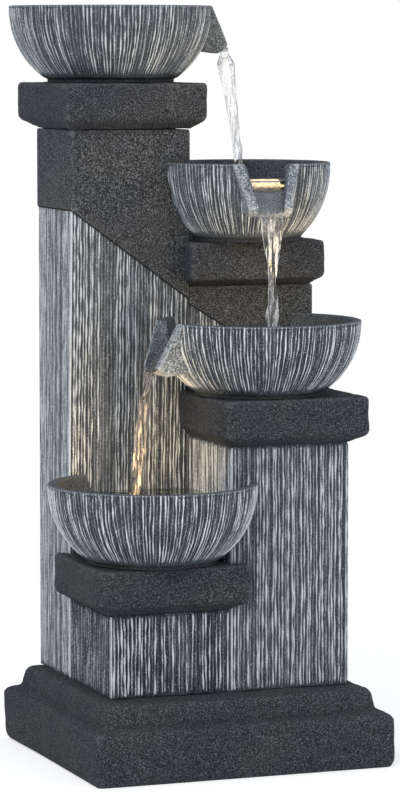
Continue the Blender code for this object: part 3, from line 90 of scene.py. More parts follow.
class Wiring:
    """Adds shader nodes to one new material and joins them."""

    def __init__(self, name: str) -> None:
        """Start a material with a Principled shader and object coordinates.

        Args:
            name: The material's name.
        """
        self.material = bpy.data.materials.new(name)
        self.material.use_nodes = True
        self.tree = self.material.node_tree
        self.shader = self.tree.nodes["Principled BSDF"]
        self.place = self.tree.nodes.new("ShaderNodeTexCoord").outputs["Object"]

    def node(self, kind: str, inputs: dict | None = None, **settings: object) -> bpy.types.Node:
        """Add one node.

        Args:
            kind: The node's type without the leading ShaderNode.
            inputs: Values or output sockets for its inputs, by name or number.
            **settings: Properties of the node.

        Returns:
            The new node.
        """
        made = self.tree.nodes.new("ShaderNode" + kind)
        for key, value in settings.items():
            setattr(made, key, value)
        for key, value in (inputs or {}).items():
            self.feed(made.inputs[key], value)
        return made

    def feed(self, socket: Socket, value: object) -> None:
        """Set a socket to a value, or join an output to it."""
        if isinstance(value, Socket):
            self.tree.links.new(value, socket)
        elif isinstance(value, tuple) and len(value) == 3 and socket.type == "RGBA":
            socket.default_value = (*value, 1.0)
        else:
            socket.default_value = value

    def noise(self, scale: float, detail: float = 2.0, rough: float = 0.55,
              stretch: Point = (1.0, 1.0, 1.0),
              turn: Point = (0.0, 0.0, 0.0)) -> Socket:
        """Return a noise pattern, stretched along an axis by a factor under 1 and turned."""
        place = self.node("Mapping", {"Vector": self.place, "Scale": stretch,
                                      "Rotation": turn}).outputs[0]
        made = self.node("TexNoise", {"Vector": place, "Scale": scale, "Detail": detail,
                                      "Roughness": rough})
        return made.outputs["Fac"]

    def mark(self, name: str) -> Socket:
        """Return the value that the mesh holds at each point under a name."""
        return self.node("Attribute", attribute_name=name).outputs["Fac"]

    def cells(self, scale: float) -> Socket:
        """Return the distance to the nearest point of a random scatter."""
        made = self.node("TexVoronoi", {"Vector": self.place, "Scale": scale})
        return made.outputs["Distance"]

    def span(self, value: Socket, low: float, high: float, start: float = 0.0,
             end: float = 1.0) -> Socket:
        """Map a value from low..high to start..end with soft ends."""
        made = self.node("MapRange", {"Value": value, "From Min": low, "From Max": high,
                                      "To Min": start, "To Max": end},
                         interpolation_type="SMOOTHSTEP")
        return made.outputs["Result"]

    def calc(self, operation: str, first: object, second: object) -> Socket:
        """Return a sum, product or other result of two values."""
        made = self.node("Math", {0: first, 1: second}, operation=operation)
        return made.outputs[0]

    def times(self, first: object, second: object) -> Socket:
        """Return the product of two values."""
        return self.calc("MULTIPLY", first, second)

    def plus(self, first: object, second: object) -> Socket:
        """Return the sum of two values."""
        return self.calc("ADD", first, second)

    def swing(self, pattern: Socket, amount: float) -> Socket:
        """Return how far a pattern lies from its middle of a half, times an amount."""
        return self.times(self.calc("SUBTRACT", pattern, 0.5), amount)

    def blend(self, share: object, first: object, second: object,
              way: str = "MIX") -> Socket:
        """Return two colours mixed by a share."""
        made = self.node("MixRGB", {"Fac": share, "Color1": first, "Color2": second},
                         blend_type=way)
        return made.outputs[0]

    def bump(self, height: Socket, distance: float, strength: float = 1.0,
             under: Socket | None = None) -> Socket:
        """Return a normal that is raised by a height pattern."""
        inputs = {"Height": height, "Distance": distance, "Strength": strength}
        if under is not None:
            inputs["Normal"] = under
        return self.node("Bump", inputs).outputs["Normal"]

    def finish(self, **sockets: object) -> bpy.types.Material:
        """Feed the shader's sockets, named with underscores, and return the material."""
        for key, value in sockets.items():
            self.feed(self.shader.inputs[key.replace("_", " ")], value)
        return self.material


@dataclass(frozen=True)
class SandyStone:
    """Cast stone with a sandy grain of dark and light specks.

    The mesh's edge value lightens its outer edges, as wear with a painted highlight, and darkens
    its creases with painted shade.
    """

    name: str
    dark: Colour
    body: Colour
    light: Colour
    grain: float = 760.0
    coarse_share: float = 0.18
    body_span: tuple[float, float] = (0.40, 0.50)
    light_span: tuple[float, float] = (0.51, 0.64)
    roughness: float = 0.88
    relief: float = 0.0011
    # how far outer edges pale: wear and a painted highlight
    edge_wear_and_highlight: float = 0.45
    # how far creases darken towards the dark tone: painted shade
    crease_shade: float = 0.65

    def make(self) -> bpy.types.Material:
        """Return the finish as a material."""
        w = Wiring(self.name)
        fine = w.noise(self.grain, 2.0, 0.7)
        coarse = w.noise(self.grain * 0.45, 2.0, 0.65)
        cloud = w.noise(11.0, 3.0, 0.6)
        grains = w.plus(w.times(fine, 1.0 - self.coarse_share),
                        w.times(coarse, self.coarse_share))
        tone = w.blend(w.span(grains, *self.body_span), self.dark, self.body)
        tone = w.blend(w.span(grains, *self.light_span), tone, self.light)
        mottle = w.blend(w.span(cloud, 0.32, 0.70), (0.84, 0.89, 1.00), (1.10, 1.10, 1.05))
        tone = w.blend(1.0, tone, mottle, "MULTIPLY")
        wear_and_shade = w.mark("wear_and_shade")
        # pale outer edges: wear and a painted highlight
        wear_and_highlight_edge = w.plus(wear_and_shade, w.swing(coarse, 0.5))
        tone = w.blend(w.times(w.span(wear_and_highlight_edge, 0.12, 0.50), self.edge_wear_and_highlight), tone, self.light)
        # painted shade: creases darken towards the dark tone
        tone = w.blend(w.times(w.span(wear_and_shade, -0.05, -0.40), self.crease_shade), tone, self.dark)
        pits = w.bump(grains, self.relief, 0.9)
        swell = w.bump(w.noise(85.0, 2.0), self.relief * 1.3, 0.7, pits)
        rough = w.span(coarse, 0.3, 0.7, self.roughness - 0.10, self.roughness + 0.06)
        return w.finish(Base_Color=tone, Roughness=rough, Normal=swell, Specular_IOR_Level=0.32)


@dataclass(frozen=True)
class CarvedStone:
    """Carved stone with pale paint rubbed over the crests of its ridges.

    The mesh's crest value is 1 on a ridge and 0 in a groove. The paint starts where the
    crest, torn up by fibres, patches, strokes and grit, is above 1 less the cover.
    """

    name: str
    groove: Colour
    slope: Colour
    paint: Colour
    chalk: Colour
    cover: float = 0.55
    scatter: float = 0.5
    corner_wear: float = 0.0
    roughness: float = 0.80

    def make(self) -> bpy.types.Material:
        """Return the finish as a material."""
        w = Wiring(self.name)
        fibre = w.noise(560.0, 3.0, 0.7, (1.0, 1.0, 0.16))
        crumbs = w.noise(640.0, 2.0, 0.7)
        patch = w.noise(20.0, 3.0, 0.6, (1.0, 1.0, 0.6))
        stroke = w.noise(46.0, 3.0, 0.5, (1.0, 1.0, 0.12), (0.0, 0.7, 0.0))
        grit = w.swing(crumbs, self.scatter * 1.5)
        drag = w.plus(w.swing(fibre, self.scatter), w.swing(patch, self.scatter * 0.18))
        drag = w.plus(drag, w.swing(stroke, self.scatter * 0.30))
        reach = w.plus(w.plus(w.mark("crest"), drag), grit)
        low = 1.0 - self.cover
        tone = w.blend(w.span(reach, 0.0, 0.45), self.groove, self.slope)
        tone = w.blend(w.span(reach, low, low + 0.20), tone, self.paint)
        tone = w.blend(w.span(reach, low + 0.16, low + 0.48), tone, self.chalk)
        tone = w.blend(w.times(w.span(stroke, 0.55, 0.72), 0.16), tone, self.paint)
        tone = w.blend(w.times(w.span(crumbs, 0.60, 0.70), 0.45), tone, self.chalk)
        corner = w.times(w.span(w.plus(w.mark("wear_and_shade"), grit), 0.30, 0.75), self.corner_wear)
        tone = w.blend(corner, tone, self.chalk)
        pits = w.bump(crumbs, 0.0005, 0.9)
        rough = w.span(reach, 0.2, 0.9, self.roughness + 0.08, self.roughness - 0.10)
        return w.finish(Base_Color=tone, Roughness=rough, Specular_IOR_Level=0.35,
                        Normal=w.bump(fibre, 0.0006, 0.9, pits))


@dataclass(frozen=True)
class FallingWater:
    """Thin falling water: clear, with white strands that run down it.

    The mesh's falls value is 0 in the channel and grows to 1 at the stream's foot.
    """

    name: str
    tint: Colour
    strands: float
    # colour of the white strands, partly foam and partly painted highlight
    foam_and_highlight: Colour = (0.95, 0.96, 0.97)

    def make(self) -> bpy.types.Material:
        """Return the finish as a material."""
        w = Wiring(self.name)
        threads = w.noise(330.0, 3.0, 0.6, (1.0, 1.0, 0.07))
        beads = w.noise(240.0, 2.0, 0.6, (1.0, 1.0, 0.5))
        # white strands: partly foam, partly painted highlight
        white = w.times(w.span(threads, 0.47, 0.60), w.span(beads, 0.30, 0.55, 0.35, 1.0))
        white = w.times(w.times(white, self.strands), w.span(w.mark("falls"), 0.0, 0.10, 0.10, 1.0))
        clear = w.calc("SUBTRACT", 1.0, white)
        tone = w.blend(white, self.tint, self.foam_and_highlight)
        return w.finish(Base_Color=tone, Roughness=w.span(threads, 0.3, 0.7, 0.02, 0.10), IOR=1.333,
                        Transmission_Weight=clear, Normal=w.bump(threads, 0.0008, 0.8))


@dataclass(frozen=True)
class Mottled:
    """Plastic, rubber, ceramic or metal: tone and gloss drift over a fine skin.

    The pattern and the skin are a scale, a detail, a roughness and a stretch of noise.
    Without a skin of its own, the surface is as uneven as the pattern.
    """

    name: str
    first: Colour
    second: Colour
    pattern: tuple = (60.0, 4.0, 0.65)
    tones: tuple[float, ...] = (0.50, 0.78, 0.0, 0.45)
    gloss: tuple[float, ...] = (0.30, 0.75, 0.42, 0.67)
    skin: tuple = (1600.0, 2.0)
    relief: tuple[float, float] = (0.00008, 0.6)
    metallic: float = 0.0

    def make(self) -> bpy.types.Material:
        """Return the finish as a material."""
        w = Wiring(self.name)
        film = w.noise(*self.pattern)
        skin = w.noise(*self.skin) if self.skin else film
        tone = w.blend(w.span(film, *self.tones), self.first, self.second)
        return w.finish(Base_Color=tone, Roughness=w.span(film, *self.gloss),
                        Metallic=self.metallic, Normal=w.bump(skin, *self.relief))


@dataclass(frozen=True)
class Clear:
    """Clear hose, lens or still water: it lets light through and may glow."""

    name: str
    tint: Colour
    roughness: float
    index: float
    ripple: float = 0.0
    ripple_scale: float = 60.0
    glow: Colour = (0.0, 0.0, 0.0)
    glow_strength: float = 0.0
    clearness: float = 1.0

    def make(self) -> bpy.types.Material:
        """Return the finish as a material."""
        w = Wiring(self.name)
        cloud = w.noise(self.ripple_scale, 3.0, 0.6)
        tone = w.blend(w.span(cloud, 0.3, 0.75), self.tint,
                       tuple(min(1.0, part * 1.12) for part in self.tint))
        rough = w.span(cloud, 0.3, 0.8, self.roughness, self.roughness + 0.06)
        sockets = {"Base_Color": tone, "Roughness": rough, "IOR": self.index,
                   "Transmission_Weight": self.clearness}
        if self.ripple > 0.0:
            sockets["Normal"] = w.bump(cloud, self.ripple, 0.8)
        if self.glow_strength > 0.0:
            sockets["Emission_Color"] = self.glow
            sockets["Emission_Strength"] = self.glow_strength
        return w.finish(**sockets)


@dataclass(frozen=True)
class LightBoard:
    """White lamp board whose raised light chips carry a yellow phosphor and shine.

    What stands above the chip height, in the fountain's own Z, is a chip.
    """

    name: str
    chip_height: float

    def make(self) -> bpy.types.Material:
        """Return the finish as a material."""
        w = Wiring(self.name)
        height = w.node("SeparateXYZ", {"Vector": w.place}).outputs["Z"]
        chip = w.span(height, self.chip_height - 0.0002, self.chip_height + 0.0002)
        solder = w.span(w.cells(420.0), 0.12, 0.20, 1.0, 0.0)
        mask = w.blend(w.noise(220.0, 2.0), (0.66, 0.67, 0.64), (0.80, 0.80, 0.77))
        board = w.blend(w.times(solder, 0.55), mask, (0.42, 0.43, 0.44))
        tone = w.blend(chip, board, (0.92, 0.70, 0.12))
        return w.finish(Base_Color=tone, Roughness=w.span(solder, 0.0, 1.0, 0.48, 0.25),
                        Emission_Color=(1.0, 0.70, 0.30),
                        Emission_Strength=w.times(chip, 2.2),
                        Normal=w.bump(w.noise(700.0), 0.00004, 0.5))


class Finish(Enum):
    """The finishes of the fountain, by what they cover."""

    PLAIN = SandyStone("plain_stone", (0.008, 0.009, 0.011), (0.034, 0.036, 0.042),
                       (0.155, 0.161, 0.174))
    CAPE = SandyStone("cape_stone", (0.010, 0.011, 0.012), (0.047, 0.049, 0.053),
                      (0.235, 0.240, 0.250))
    BOWL_INSIDE = SandyStone("bowl_inside_stone", (0.026, 0.031, 0.037), (0.075, 0.086, 0.099),
                             (0.190, 0.210, 0.230))
    # the cheeks' outer edges pale strongly: wear and a painted highlight
    CHEEK = SandyStone("spout_cheek_stone", (0.070, 0.080, 0.093), (0.240, 0.262, 0.285),
                       (0.66, 0.69, 0.72), grain=560.0, edge_wear_and_highlight=0.85)
    CHANNEL = SandyStone("spout_channel_stone", (0.045, 0.053, 0.063), (0.125, 0.142, 0.162),
                         (0.30, 0.33, 0.36), grain=560.0)
    FOOT = SandyStone("bowl_foot_stone", (0.010, 0.011, 0.013), (0.030, 0.032, 0.036),
                      (0.08, 0.083, 0.088))
    CARVED = CarvedStone("carved_stone", (0.050, 0.058, 0.068), (0.162, 0.180, 0.200),
                         (0.335, 0.37, 0.405), (0.68, 0.72, 0.77), cover=0.57, scatter=0.62)
    CARVED_BOLD = CarvedStone("carved_bold_stone", (0.022, 0.026, 0.032),
                              (0.074, 0.086, 0.102), (0.31, 0.345, 0.39), (0.74, 0.79, 0.84),
                              scatter=0.56)
    CARVED_BOWL_SOFT = CarvedStone("carved_bowl_soft_stone", (0.052, 0.062, 0.075),
                                   (0.142, 0.165, 0.190), (0.35, 0.39, 0.43),
                                   (0.74, 0.78, 0.82), cover=0.52, scatter=0.50, corner_wear=0.4)
    CARVED_BOWL = CarvedStone("carved_bowl_stone", (0.040, 0.049, 0.061),
                              (0.128, 0.150, 0.176), (0.42, 0.46, 0.50), (0.95, 0.97, 0.98),
                              cover=0.56, scatter=0.50, corner_wear=0.4)
    BLACK_PLASTIC = Mottled("black_plastic", (0.018, 0.018, 0.020), (0.07, 0.07, 0.068))
    WHITE_PLASTIC = Mottled("white_plastic", (0.72, 0.72, 0.70), (0.52, 0.50, 0.46),
                            gloss=(0.30, 0.75, 0.36, 0.61))
    RUBBER = Mottled("black_rubber", (0.030, 0.030, 0.032), (0.11, 0.11, 0.11),
                     (85.0, 4.0, 0.6), (0.45, 0.80, 0.0, 0.4), (0.30, 0.70, 0.62, 0.85),
                     (900.0,), (0.00012, 0.6))
    CERAMIC = Mottled("white_ceramic", (0.74, 0.74, 0.71), (0.86, 0.86, 0.84),
                      (500.0, 2.0, 0.5, (1.0, 5.0, 1.0)), (0.30, 0.70),
                      (0.30, 0.70, 0.18, 0.34), (), (0.00003, 0.5))
    MAGNET = Mottled("ferrite_magnet", (0.06, 0.06, 0.065), (0.17, 0.17, 0.18),
                     (1300.0, 3.0, 0.7), (0.35, 0.70), (0.30, 0.70, 0.4, 0.6), (),
                     (0.00006, 0.6), 0.4)
    HOSE = Clear("clear_hose", (0.72, 0.78, 0.80), 0.12, 1.45, 0.0002, 40.0, clearness=0.8)
    LENS = Clear("lamp_lens", (1.0, 0.88, 0.62), 0.08, 1.47, 0.0, 90.0, (1.0, 0.75, 0.40), 0.36,
                 0.8)
    POOL = Clear("pool_water", (0.93, 0.96, 0.97), 0.02, 1.333, 0.0012, 55.0)
    WATER = FallingWater("falling_water", (0.97, 0.98, 0.99), 0.62)
    LIT_WATER = FallingWater("lit_falling_water", (1.0, 0.92, 0.87), 0.80, (0.46, 0.40, 0.37))

    def material(self) -> bpy.types.Material:
        """Return this finish's material, made on first use."""
        return bpy.data.materials.get(self.value.name) or self.value.make()


# ---------------------------------------------------------------- the bench


class Bench:
    """Modelling steps that every piece shares."""

    @staticmethod
    def clear() -> None:
        """Leave edit mode and deselect everything."""
        if bpy.context.object is not None and bpy.context.object.mode != "OBJECT":
            bpy.ops.object.mode_set(mode="OBJECT")
        bpy.ops.object.select_all(action="DESELECT")

    @staticmethod
    def pick(obj: Object) -> Object:
        """Select one object alone and make it active."""
        Bench.clear()
        obj.select_set(True)
        bpy.context.view_layer.objects.active = obj
        return obj

    @staticmethod
    def edit(obj: Object) -> None:
        """Open one object's mesh for editing with everything selected."""
        Bench.pick(obj)
        bpy.ops.object.mode_set(mode="EDIT")
        bpy.ops.mesh.select_all(action="SELECT")

    @staticmethod
    def done() -> None:
        """Leave edit mode."""
        bpy.ops.object.mode_set(mode="OBJECT")

    @staticmethod
    def named(name: str) -> Object:
        """Name the new active object and its mesh, and return it."""
        obj = bpy.context.object
        obj.name = name
        obj.data.name = name
        return obj

    @staticmethod
    def apply(obj: Object, kind: str, **settings: object) -> None:
        """Add a modifier with the given settings and apply it."""
        Bench.pick(obj)
        modifier = obj.modifiers.new(kind.lower(), kind)
        for key, value in settings.items():
            setattr(modifier, key, value)
        bpy.ops.object.modifier_apply(modifier=modifier.name)

    @staticmethod
    def cut(obj: Object, tool: Object, operation: str = "DIFFERENCE") -> None:
        """Apply a Boolean with a tool and remove the tool."""
        Bench.apply(obj, "BOOLEAN", operation=operation, solver="EXACT", object=tool)
        bpy.data.objects.remove(tool, do_unlink=True)

    @staticmethod
    def block(name: str, low: Point, high: Point) -> Object:
        """Return a plain box between two corners, used as a cutter or a start."""
        Bench.clear()
        bpy.ops.mesh.primitive_cube_add(size=1.0)
        obj = Bench.named(name)
        middle = (np.array(low) + np.array(high)) / 2
        size = np.array(high) - np.array(low)
        points = Bench.points(obj) * size + middle
        Bench.move(obj, points)
        return obj

    @staticmethod
    def read(items: bpy.types.bpy_prop_collection, field: str, width: int = 3,
             kind: type = np.float64) -> np.ndarray:
        """Return one field of a mesh's points, edges or faces as rows of numbers."""
        flat = np.zeros(len(items) * width, dtype=kind)
        items.foreach_get(field, flat)
        return flat.reshape(-1, width)

    @staticmethod
    def points(obj: Object) -> np.ndarray:
        """Return a mesh's points as rows of x, y and z."""
        return Bench.read(obj.data.vertices, "co")

    @staticmethod
    def move(obj: Object, points: np.ndarray) -> None:
        """Move a mesh's points to new places."""
        obj.data.vertices.foreach_set("co", np.ascontiguousarray(points, dtype=np.float64).ravel())
        obj.data.update()

    @staticmethod
    def note(obj: Object, label: str, values: np.ndarray) -> None:
        """Store a value for each point of a mesh under a name."""
        layer = obj.data.attributes.new(label, "FLOAT", "POINT")
        layer.data.foreach_set("value", values.astype(np.float32))

    @staticmethod
    def close(obj: Object, weld: float, fill: bool = False) -> None:
        """Merge a skin's double points, fill its open ends if asked, and face it outward."""
        Bench.edit(obj)
        bpy.ops.mesh.remove_doubles(threshold=weld)
        if fill:
            bpy.ops.mesh.fill_holes(sides=0)
        bpy.ops.mesh.select_all(action="SELECT")
        bpy.ops.mesh.normals_make_consistent(inside=False)
        Bench.done()

    @staticmethod
    def wrapped_grid(name: str, rows: np.ndarray, closed: bool,
                     crest: np.ndarray | None = None,
                     label: str = "crest") -> Object:
        """Wrap a grid over rows of points and close it to a solid.

        Args:
            name: The object's name.
            rows: Points of shape (rows, columns, 3).
            closed: Whether the last column joins the first one again.
            crest: A value for each point, 0 to 1, of shape (rows, columns).
            label: Name of the attribute that holds the values.

        Returns:
            The grid as an object, with its end loops filled.
        """
        if closed:
            rows = np.concatenate([rows, rows[:, :1]], axis=1)
            if crest is not None:
                crest = np.concatenate([crest, crest[:, :1]], axis=1)
        down, across = rows.shape[:2]
        Bench.clear()
        bpy.ops.mesh.primitive_grid_add(x_subdivisions=across - 1, y_subdivisions=down - 1,
                                        size=1.0)
        obj = Bench.named(name)
        flat = Bench.points(obj)
        column = np.rint((flat[:, 0] + 0.5) * (across - 1)).astype(int)
        row = np.rint((flat[:, 1] + 0.5) * (down - 1)).astype(int)
        Bench.move(obj, rows[row, column])
        if crest is not None:
            Bench.note(obj, label, crest[row, column])
        Bench.close(obj, WELD, fill=True)
        return obj

    @staticmethod
    def weather(obj: Object, reach: float = 0.0035, gain: float = 1.0) -> None:
        """Note how far each point stands out from its neighbours, for pale edges and dark creases.

        The noted value is above 0 on an outer edge and below 0 in a crease. The finishes turn it
        into wear and a painted highlight on edges, and into painted shade in creases.

        Args:
            obj: The piece.
            reach: About how far the edge value spreads from an edge.
            gain: How strongly an edge counts.
        """
        mesh = obj.data
        points = Bench.points(obj)
        normals = Bench.read(mesh.vertices, "normal")
        first, second = Bench.read(mesh.edges, "vertices", 2, np.int32).T
        gap = points[second] - points[first]
        length = np.maximum(np.linalg.norm(gap, axis=1), 1e-6)
        bend = np.zeros(len(points))
        count = np.zeros(len(points))
        turn = np.einsum("ij,ij->i", normals[second] - normals[first], gap) / length
        for side in (first, second):
            np.add.at(bend, side, turn / np.maximum(length, 0.0015) * 0.003)
            np.add.at(count, side, 1.0)
        bend /= np.maximum(count, 1.0)
        for _ in range(max(1, round(reach / max(float(np.median(length)), 0.0006)))):
            total = bend.copy()
            np.add.at(total, first, bend[second])
            np.add.at(total, second, bend[first])
            bend = total / (count + 1.0)
        # this value pales outer edges as wear and a painted highlight, and darkens creases as
        # painted shade
        Bench.note(obj, "wear_and_shade", np.clip(bend * gain, -1.0, 1.0))

    @staticmethod
    def shade(obj: Object, angle: float = 40.0) -> None:
        """Shade a piece smooth and keep its sharp edges."""
        Bench.pick(obj)
        bpy.ops.object.shade_smooth_by_angle(angle=math.radians(angle))

    @staticmethod
    def dress(obj: Object, *finishes: Finish) -> None:
        """Give a piece its finishes, one material slot each."""
        obj.data.materials.clear()
        for finish in finishes:
            obj.data.materials.append(finish.material())

    @staticmethod
    def cover(obj: Object, where: np.ndarray, slot: int) -> None:
        """Set the material slot of the faces that a mask picks."""
        current = Bench.read(obj.data.polygons, "material_index", 1, np.int32).ravel()
        current[where] = slot
        obj.data.polygons.foreach_set("material_index", current)

    @staticmethod
    def place(obj: Object, body: str, nodes: tuple[str, ...] = (),
              slot: str | None = None) -> None:
        """Let a finished piece ride on a body, and stand for its CAD nodes.

        Args:
            obj: The finished piece.
            body: The body that it moves with.
            nodes: CAD nodes that it replaces.
            slot: Not used.
        """
        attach(obj, body)
        if nodes:
            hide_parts(*nodes)
        LOG.info("%s: %d faces on %s", obj.name, len(obj.data.polygons), body)


def smooth(values: np.ndarray, low: float, high: float) -> np.ndarray:
    """Return 0 below low, 1 above high and a soft step between them."""
    share = np.clip((values - low) / (high - low), 0.0, 1.0)
    return share * share * (3.0 - 2.0 * share)


def unevenness(points: np.ndarray, size: float, seed: int) -> np.ndarray:
    """Return a soft random field of about -1 to 1 over points in space.

    Args:
        points: Rows of x, y and z.
        size: Length of its swells.
        seed: Which field.

    Returns:
        One value for each point.
    """
    rng = np.random.default_rng(seed)
    total = np.zeros(len(points))
    for _ in range(9):
        direction = rng.normal(size=3)
        direction *= rng.uniform(0.6, 1.6) / size / np.linalg.norm(direction) * TURN
        total += np.sin(points @ direction + rng.uniform(0.0, TURN))
    return total / 3.2


# The waves in which a ridge drifts: their length along it and their size.
WAVES = ((0.31, 0.50), (0.15, 0.36), (0.062, 0.26), (0.024, 0.15))


@dataclass(frozen=True)
class Carving:
    """Hand-carved ridges that run side by side, drift, thin out and meet.

    Pinned ridges stand at given places across, such as a corner, and stay nearly straight.
    The jitter, the room round a pin and the reach of a ridge are shares of its step. Each
    ridge drifts partly on its own and partly with its neighbours, and some stand lower.
    """

    pitch: float
    seed: int
    wander: float = 0.27
    breadth: float = 0.23
    gaps: float = 0.30
    ragged: float = 0.006
    jitter: float = 0.19
    room: float = 0.55
    reach: float = 2.2
    own_drift: float = 0.75
    shared_drift: float = 0.5
    pinned_drift: float = 0.15
    lower_share: float = 0.30
    pinned: tuple[float, ...] = ()

    def crests(self, across: np.ndarray, along: np.ndarray, span: float,
               closed: bool = False) -> np.ndarray:
        """Return the ridges' height, 0 in a groove and 1 on a crest.

        Args:
            across: Places of the columns across the ridges.
            along: Places of the rows along the ridges.
            span: Length across in which the ridges are spread.
            closed: Whether the span closes on itself.

        Returns:
            Heights of shape (rows, columns).
        """
        rng = np.random.default_rng(self.seed)
        count = max(1, round(span / self.pitch))
        step = span / count
        middles = (np.arange(count) + 0.5 + rng.uniform(-self.jitter, self.jitter, count)) * step
        pins = np.array(self.pinned, dtype=float)
        if len(pins):
            nearest = np.min(np.abs(middles[:, None] - pins[None]), axis=1)
            middles = middles[nearest > step * self.room]
        height = np.zeros((len(along), len(across)))
        lean = rng.uniform(0.0, TURN, len(WAVES))
        low, high = float(along.min()), float(along.max())
        for index, middle in enumerate(np.concatenate([middles, pins])):
            pin = index >= len(middles)
            drift = np.zeros(len(along))
            for wave, (length, size) in enumerate(WAVES):
                own = rng.uniform(0.0, TURN)
                turn = TURN * along / (length * rng.uniform(0.8, 1.25))
                shared = TURN * along / length + lean[wave] + middle / step * 0.35
                drift += size * (self.own_drift * np.sin(turn + own)
                                 + self.shared_drift * np.sin(shared))
            drift *= self.wander * step * (self.pinned_drift if pin else 1.0)
            pulse = np.sin(TURN * along / rng.uniform(0.04, 0.14) + rng.uniform(0.0, 6.3))
            fade = 1.0 - self.gaps * (0.5 + 0.5 * pulse)
            fade *= 1.0 - self.gaps * 1.3 * (rng.uniform() < self.lower_share)
            pulse = np.sin(TURN * along / rng.uniform(0.015, 0.06) + rng.uniform(0.0, 6.3))
            half = self.breadth * step * (1.0 + 0.35 * pulse)
            half *= rng.uniform(0.80, 1.20)
            if pin:
                fade = np.ones(len(along))
            fade *= smooth(along - low, 0.0, rng.uniform(0.3, 1.0) * self.ragged + 0.0004)
            fade *= smooth(high - along, 0.0, rng.uniform(0.2, 0.8) * self.ragged + 0.0004)
            near = across - middle
            if closed:
                near = (near + span / 2) % span - span / 2
            picked = np.abs(near) < step * self.reach
            away = np.abs(near[picked][None, :] - drift[:, None])
            shape = 1.0 - smooth(away / half[:, None], 0.30, 1.75)
            height[:, picked] = np.maximum(height[:, picked], shape * fade[:, None])
        return height


# ---------------------------------------------------------------- the stone


@dataclass
class CastSlab:
    """A plain slab or plinth, cast with soft edges that are painted pale, as wear and as a painted
    highlight.

    Each pull is a place, how far the surface is drawn there, and how wide. The dents are
    two fields of swells, each with its swells' length and its share of the full swell.
    """

    node: str
    body: str = BODY
    seed: int = 1
    pulls: tuple[tuple[Point, Point, float], ...] = ()
    voxel: float = 0.0027
    rounds: int = 2
    swell: float = 0.0005
    dents: tuple[tuple[float, float], ...] = ((0.045, 1.0), (0.014, 0.45))

    def build(self) -> Object:
        """Cast the slab from a merged copy of its CAD solid.

        Returns:
            The finished piece.
        """
        obj = bpy.data.objects.new(f"{self.node}_cast", bpy.data.objects[self.node].data.copy())
        bpy.context.scene.collection.objects.link(obj)
        Bench.edit(obj)
        bpy.ops.mesh.remove_doubles(threshold=SOLID_WELD)
        Bench.done()
        Bench.apply(obj, "REMESH", mode="VOXEL", voxel_size=self.voxel)
        Bench.apply(obj, "SMOOTH", factor=0.5, iterations=self.rounds)
        Bench.weather(obj)
        self.dent(obj)
        Bench.dress(obj, Finish.PLAIN)
        Bench.pick(obj)
        bpy.ops.object.shade_smooth()
        Bench.place(obj, self.body, (self.node,), "stone_plain")
        return obj

    def dent(self, obj: Object) -> None:
        """Give the cast surface its small dents and swells, within the solid's box."""
        points = Bench.points(obj)
        normals = Bench.read(obj.data.vertices, "normal")
        low, high = points.min(axis=0), points.max(axis=0)
        amount = sum(unevenness(points, size, self.seed + 7 * number) * self.swell * share
                     for number, (size, share) in enumerate(self.dents))
        seat = smooth(points[:, 2], low[2] + 0.001, low[2] + 0.006)
        points = np.clip(points + normals * ((amount - self.swell) * seat)[:, None], low, high)
        for centre, shift, reach in self.pulls:
            near = np.exp(-(np.linalg.norm((points - centre) / reach, axis=1)) ** 2)
            points = points + near[:, None] * np.array(shift)
        Bench.move(obj, points)


# The rows at a cape's lower edge: their lift over it, their share of the cape's
# stand out from the block, and how deep they are cut in.
CAPE_EDGE = ((-0.0004, 0.0, 0.0012), (0.0001, 0.05, 0.0014), (0.0005, 0.75, 0.0),
             (0.0014, 1.0, 0.0), (0.003, 1.0, 0.0))


class Side(IntEnum):
    """The faces of a block, clockwise as seen from above."""

    FRONT = 0
    LEFT = 1
    REAR = 2
    RIGHT = 3


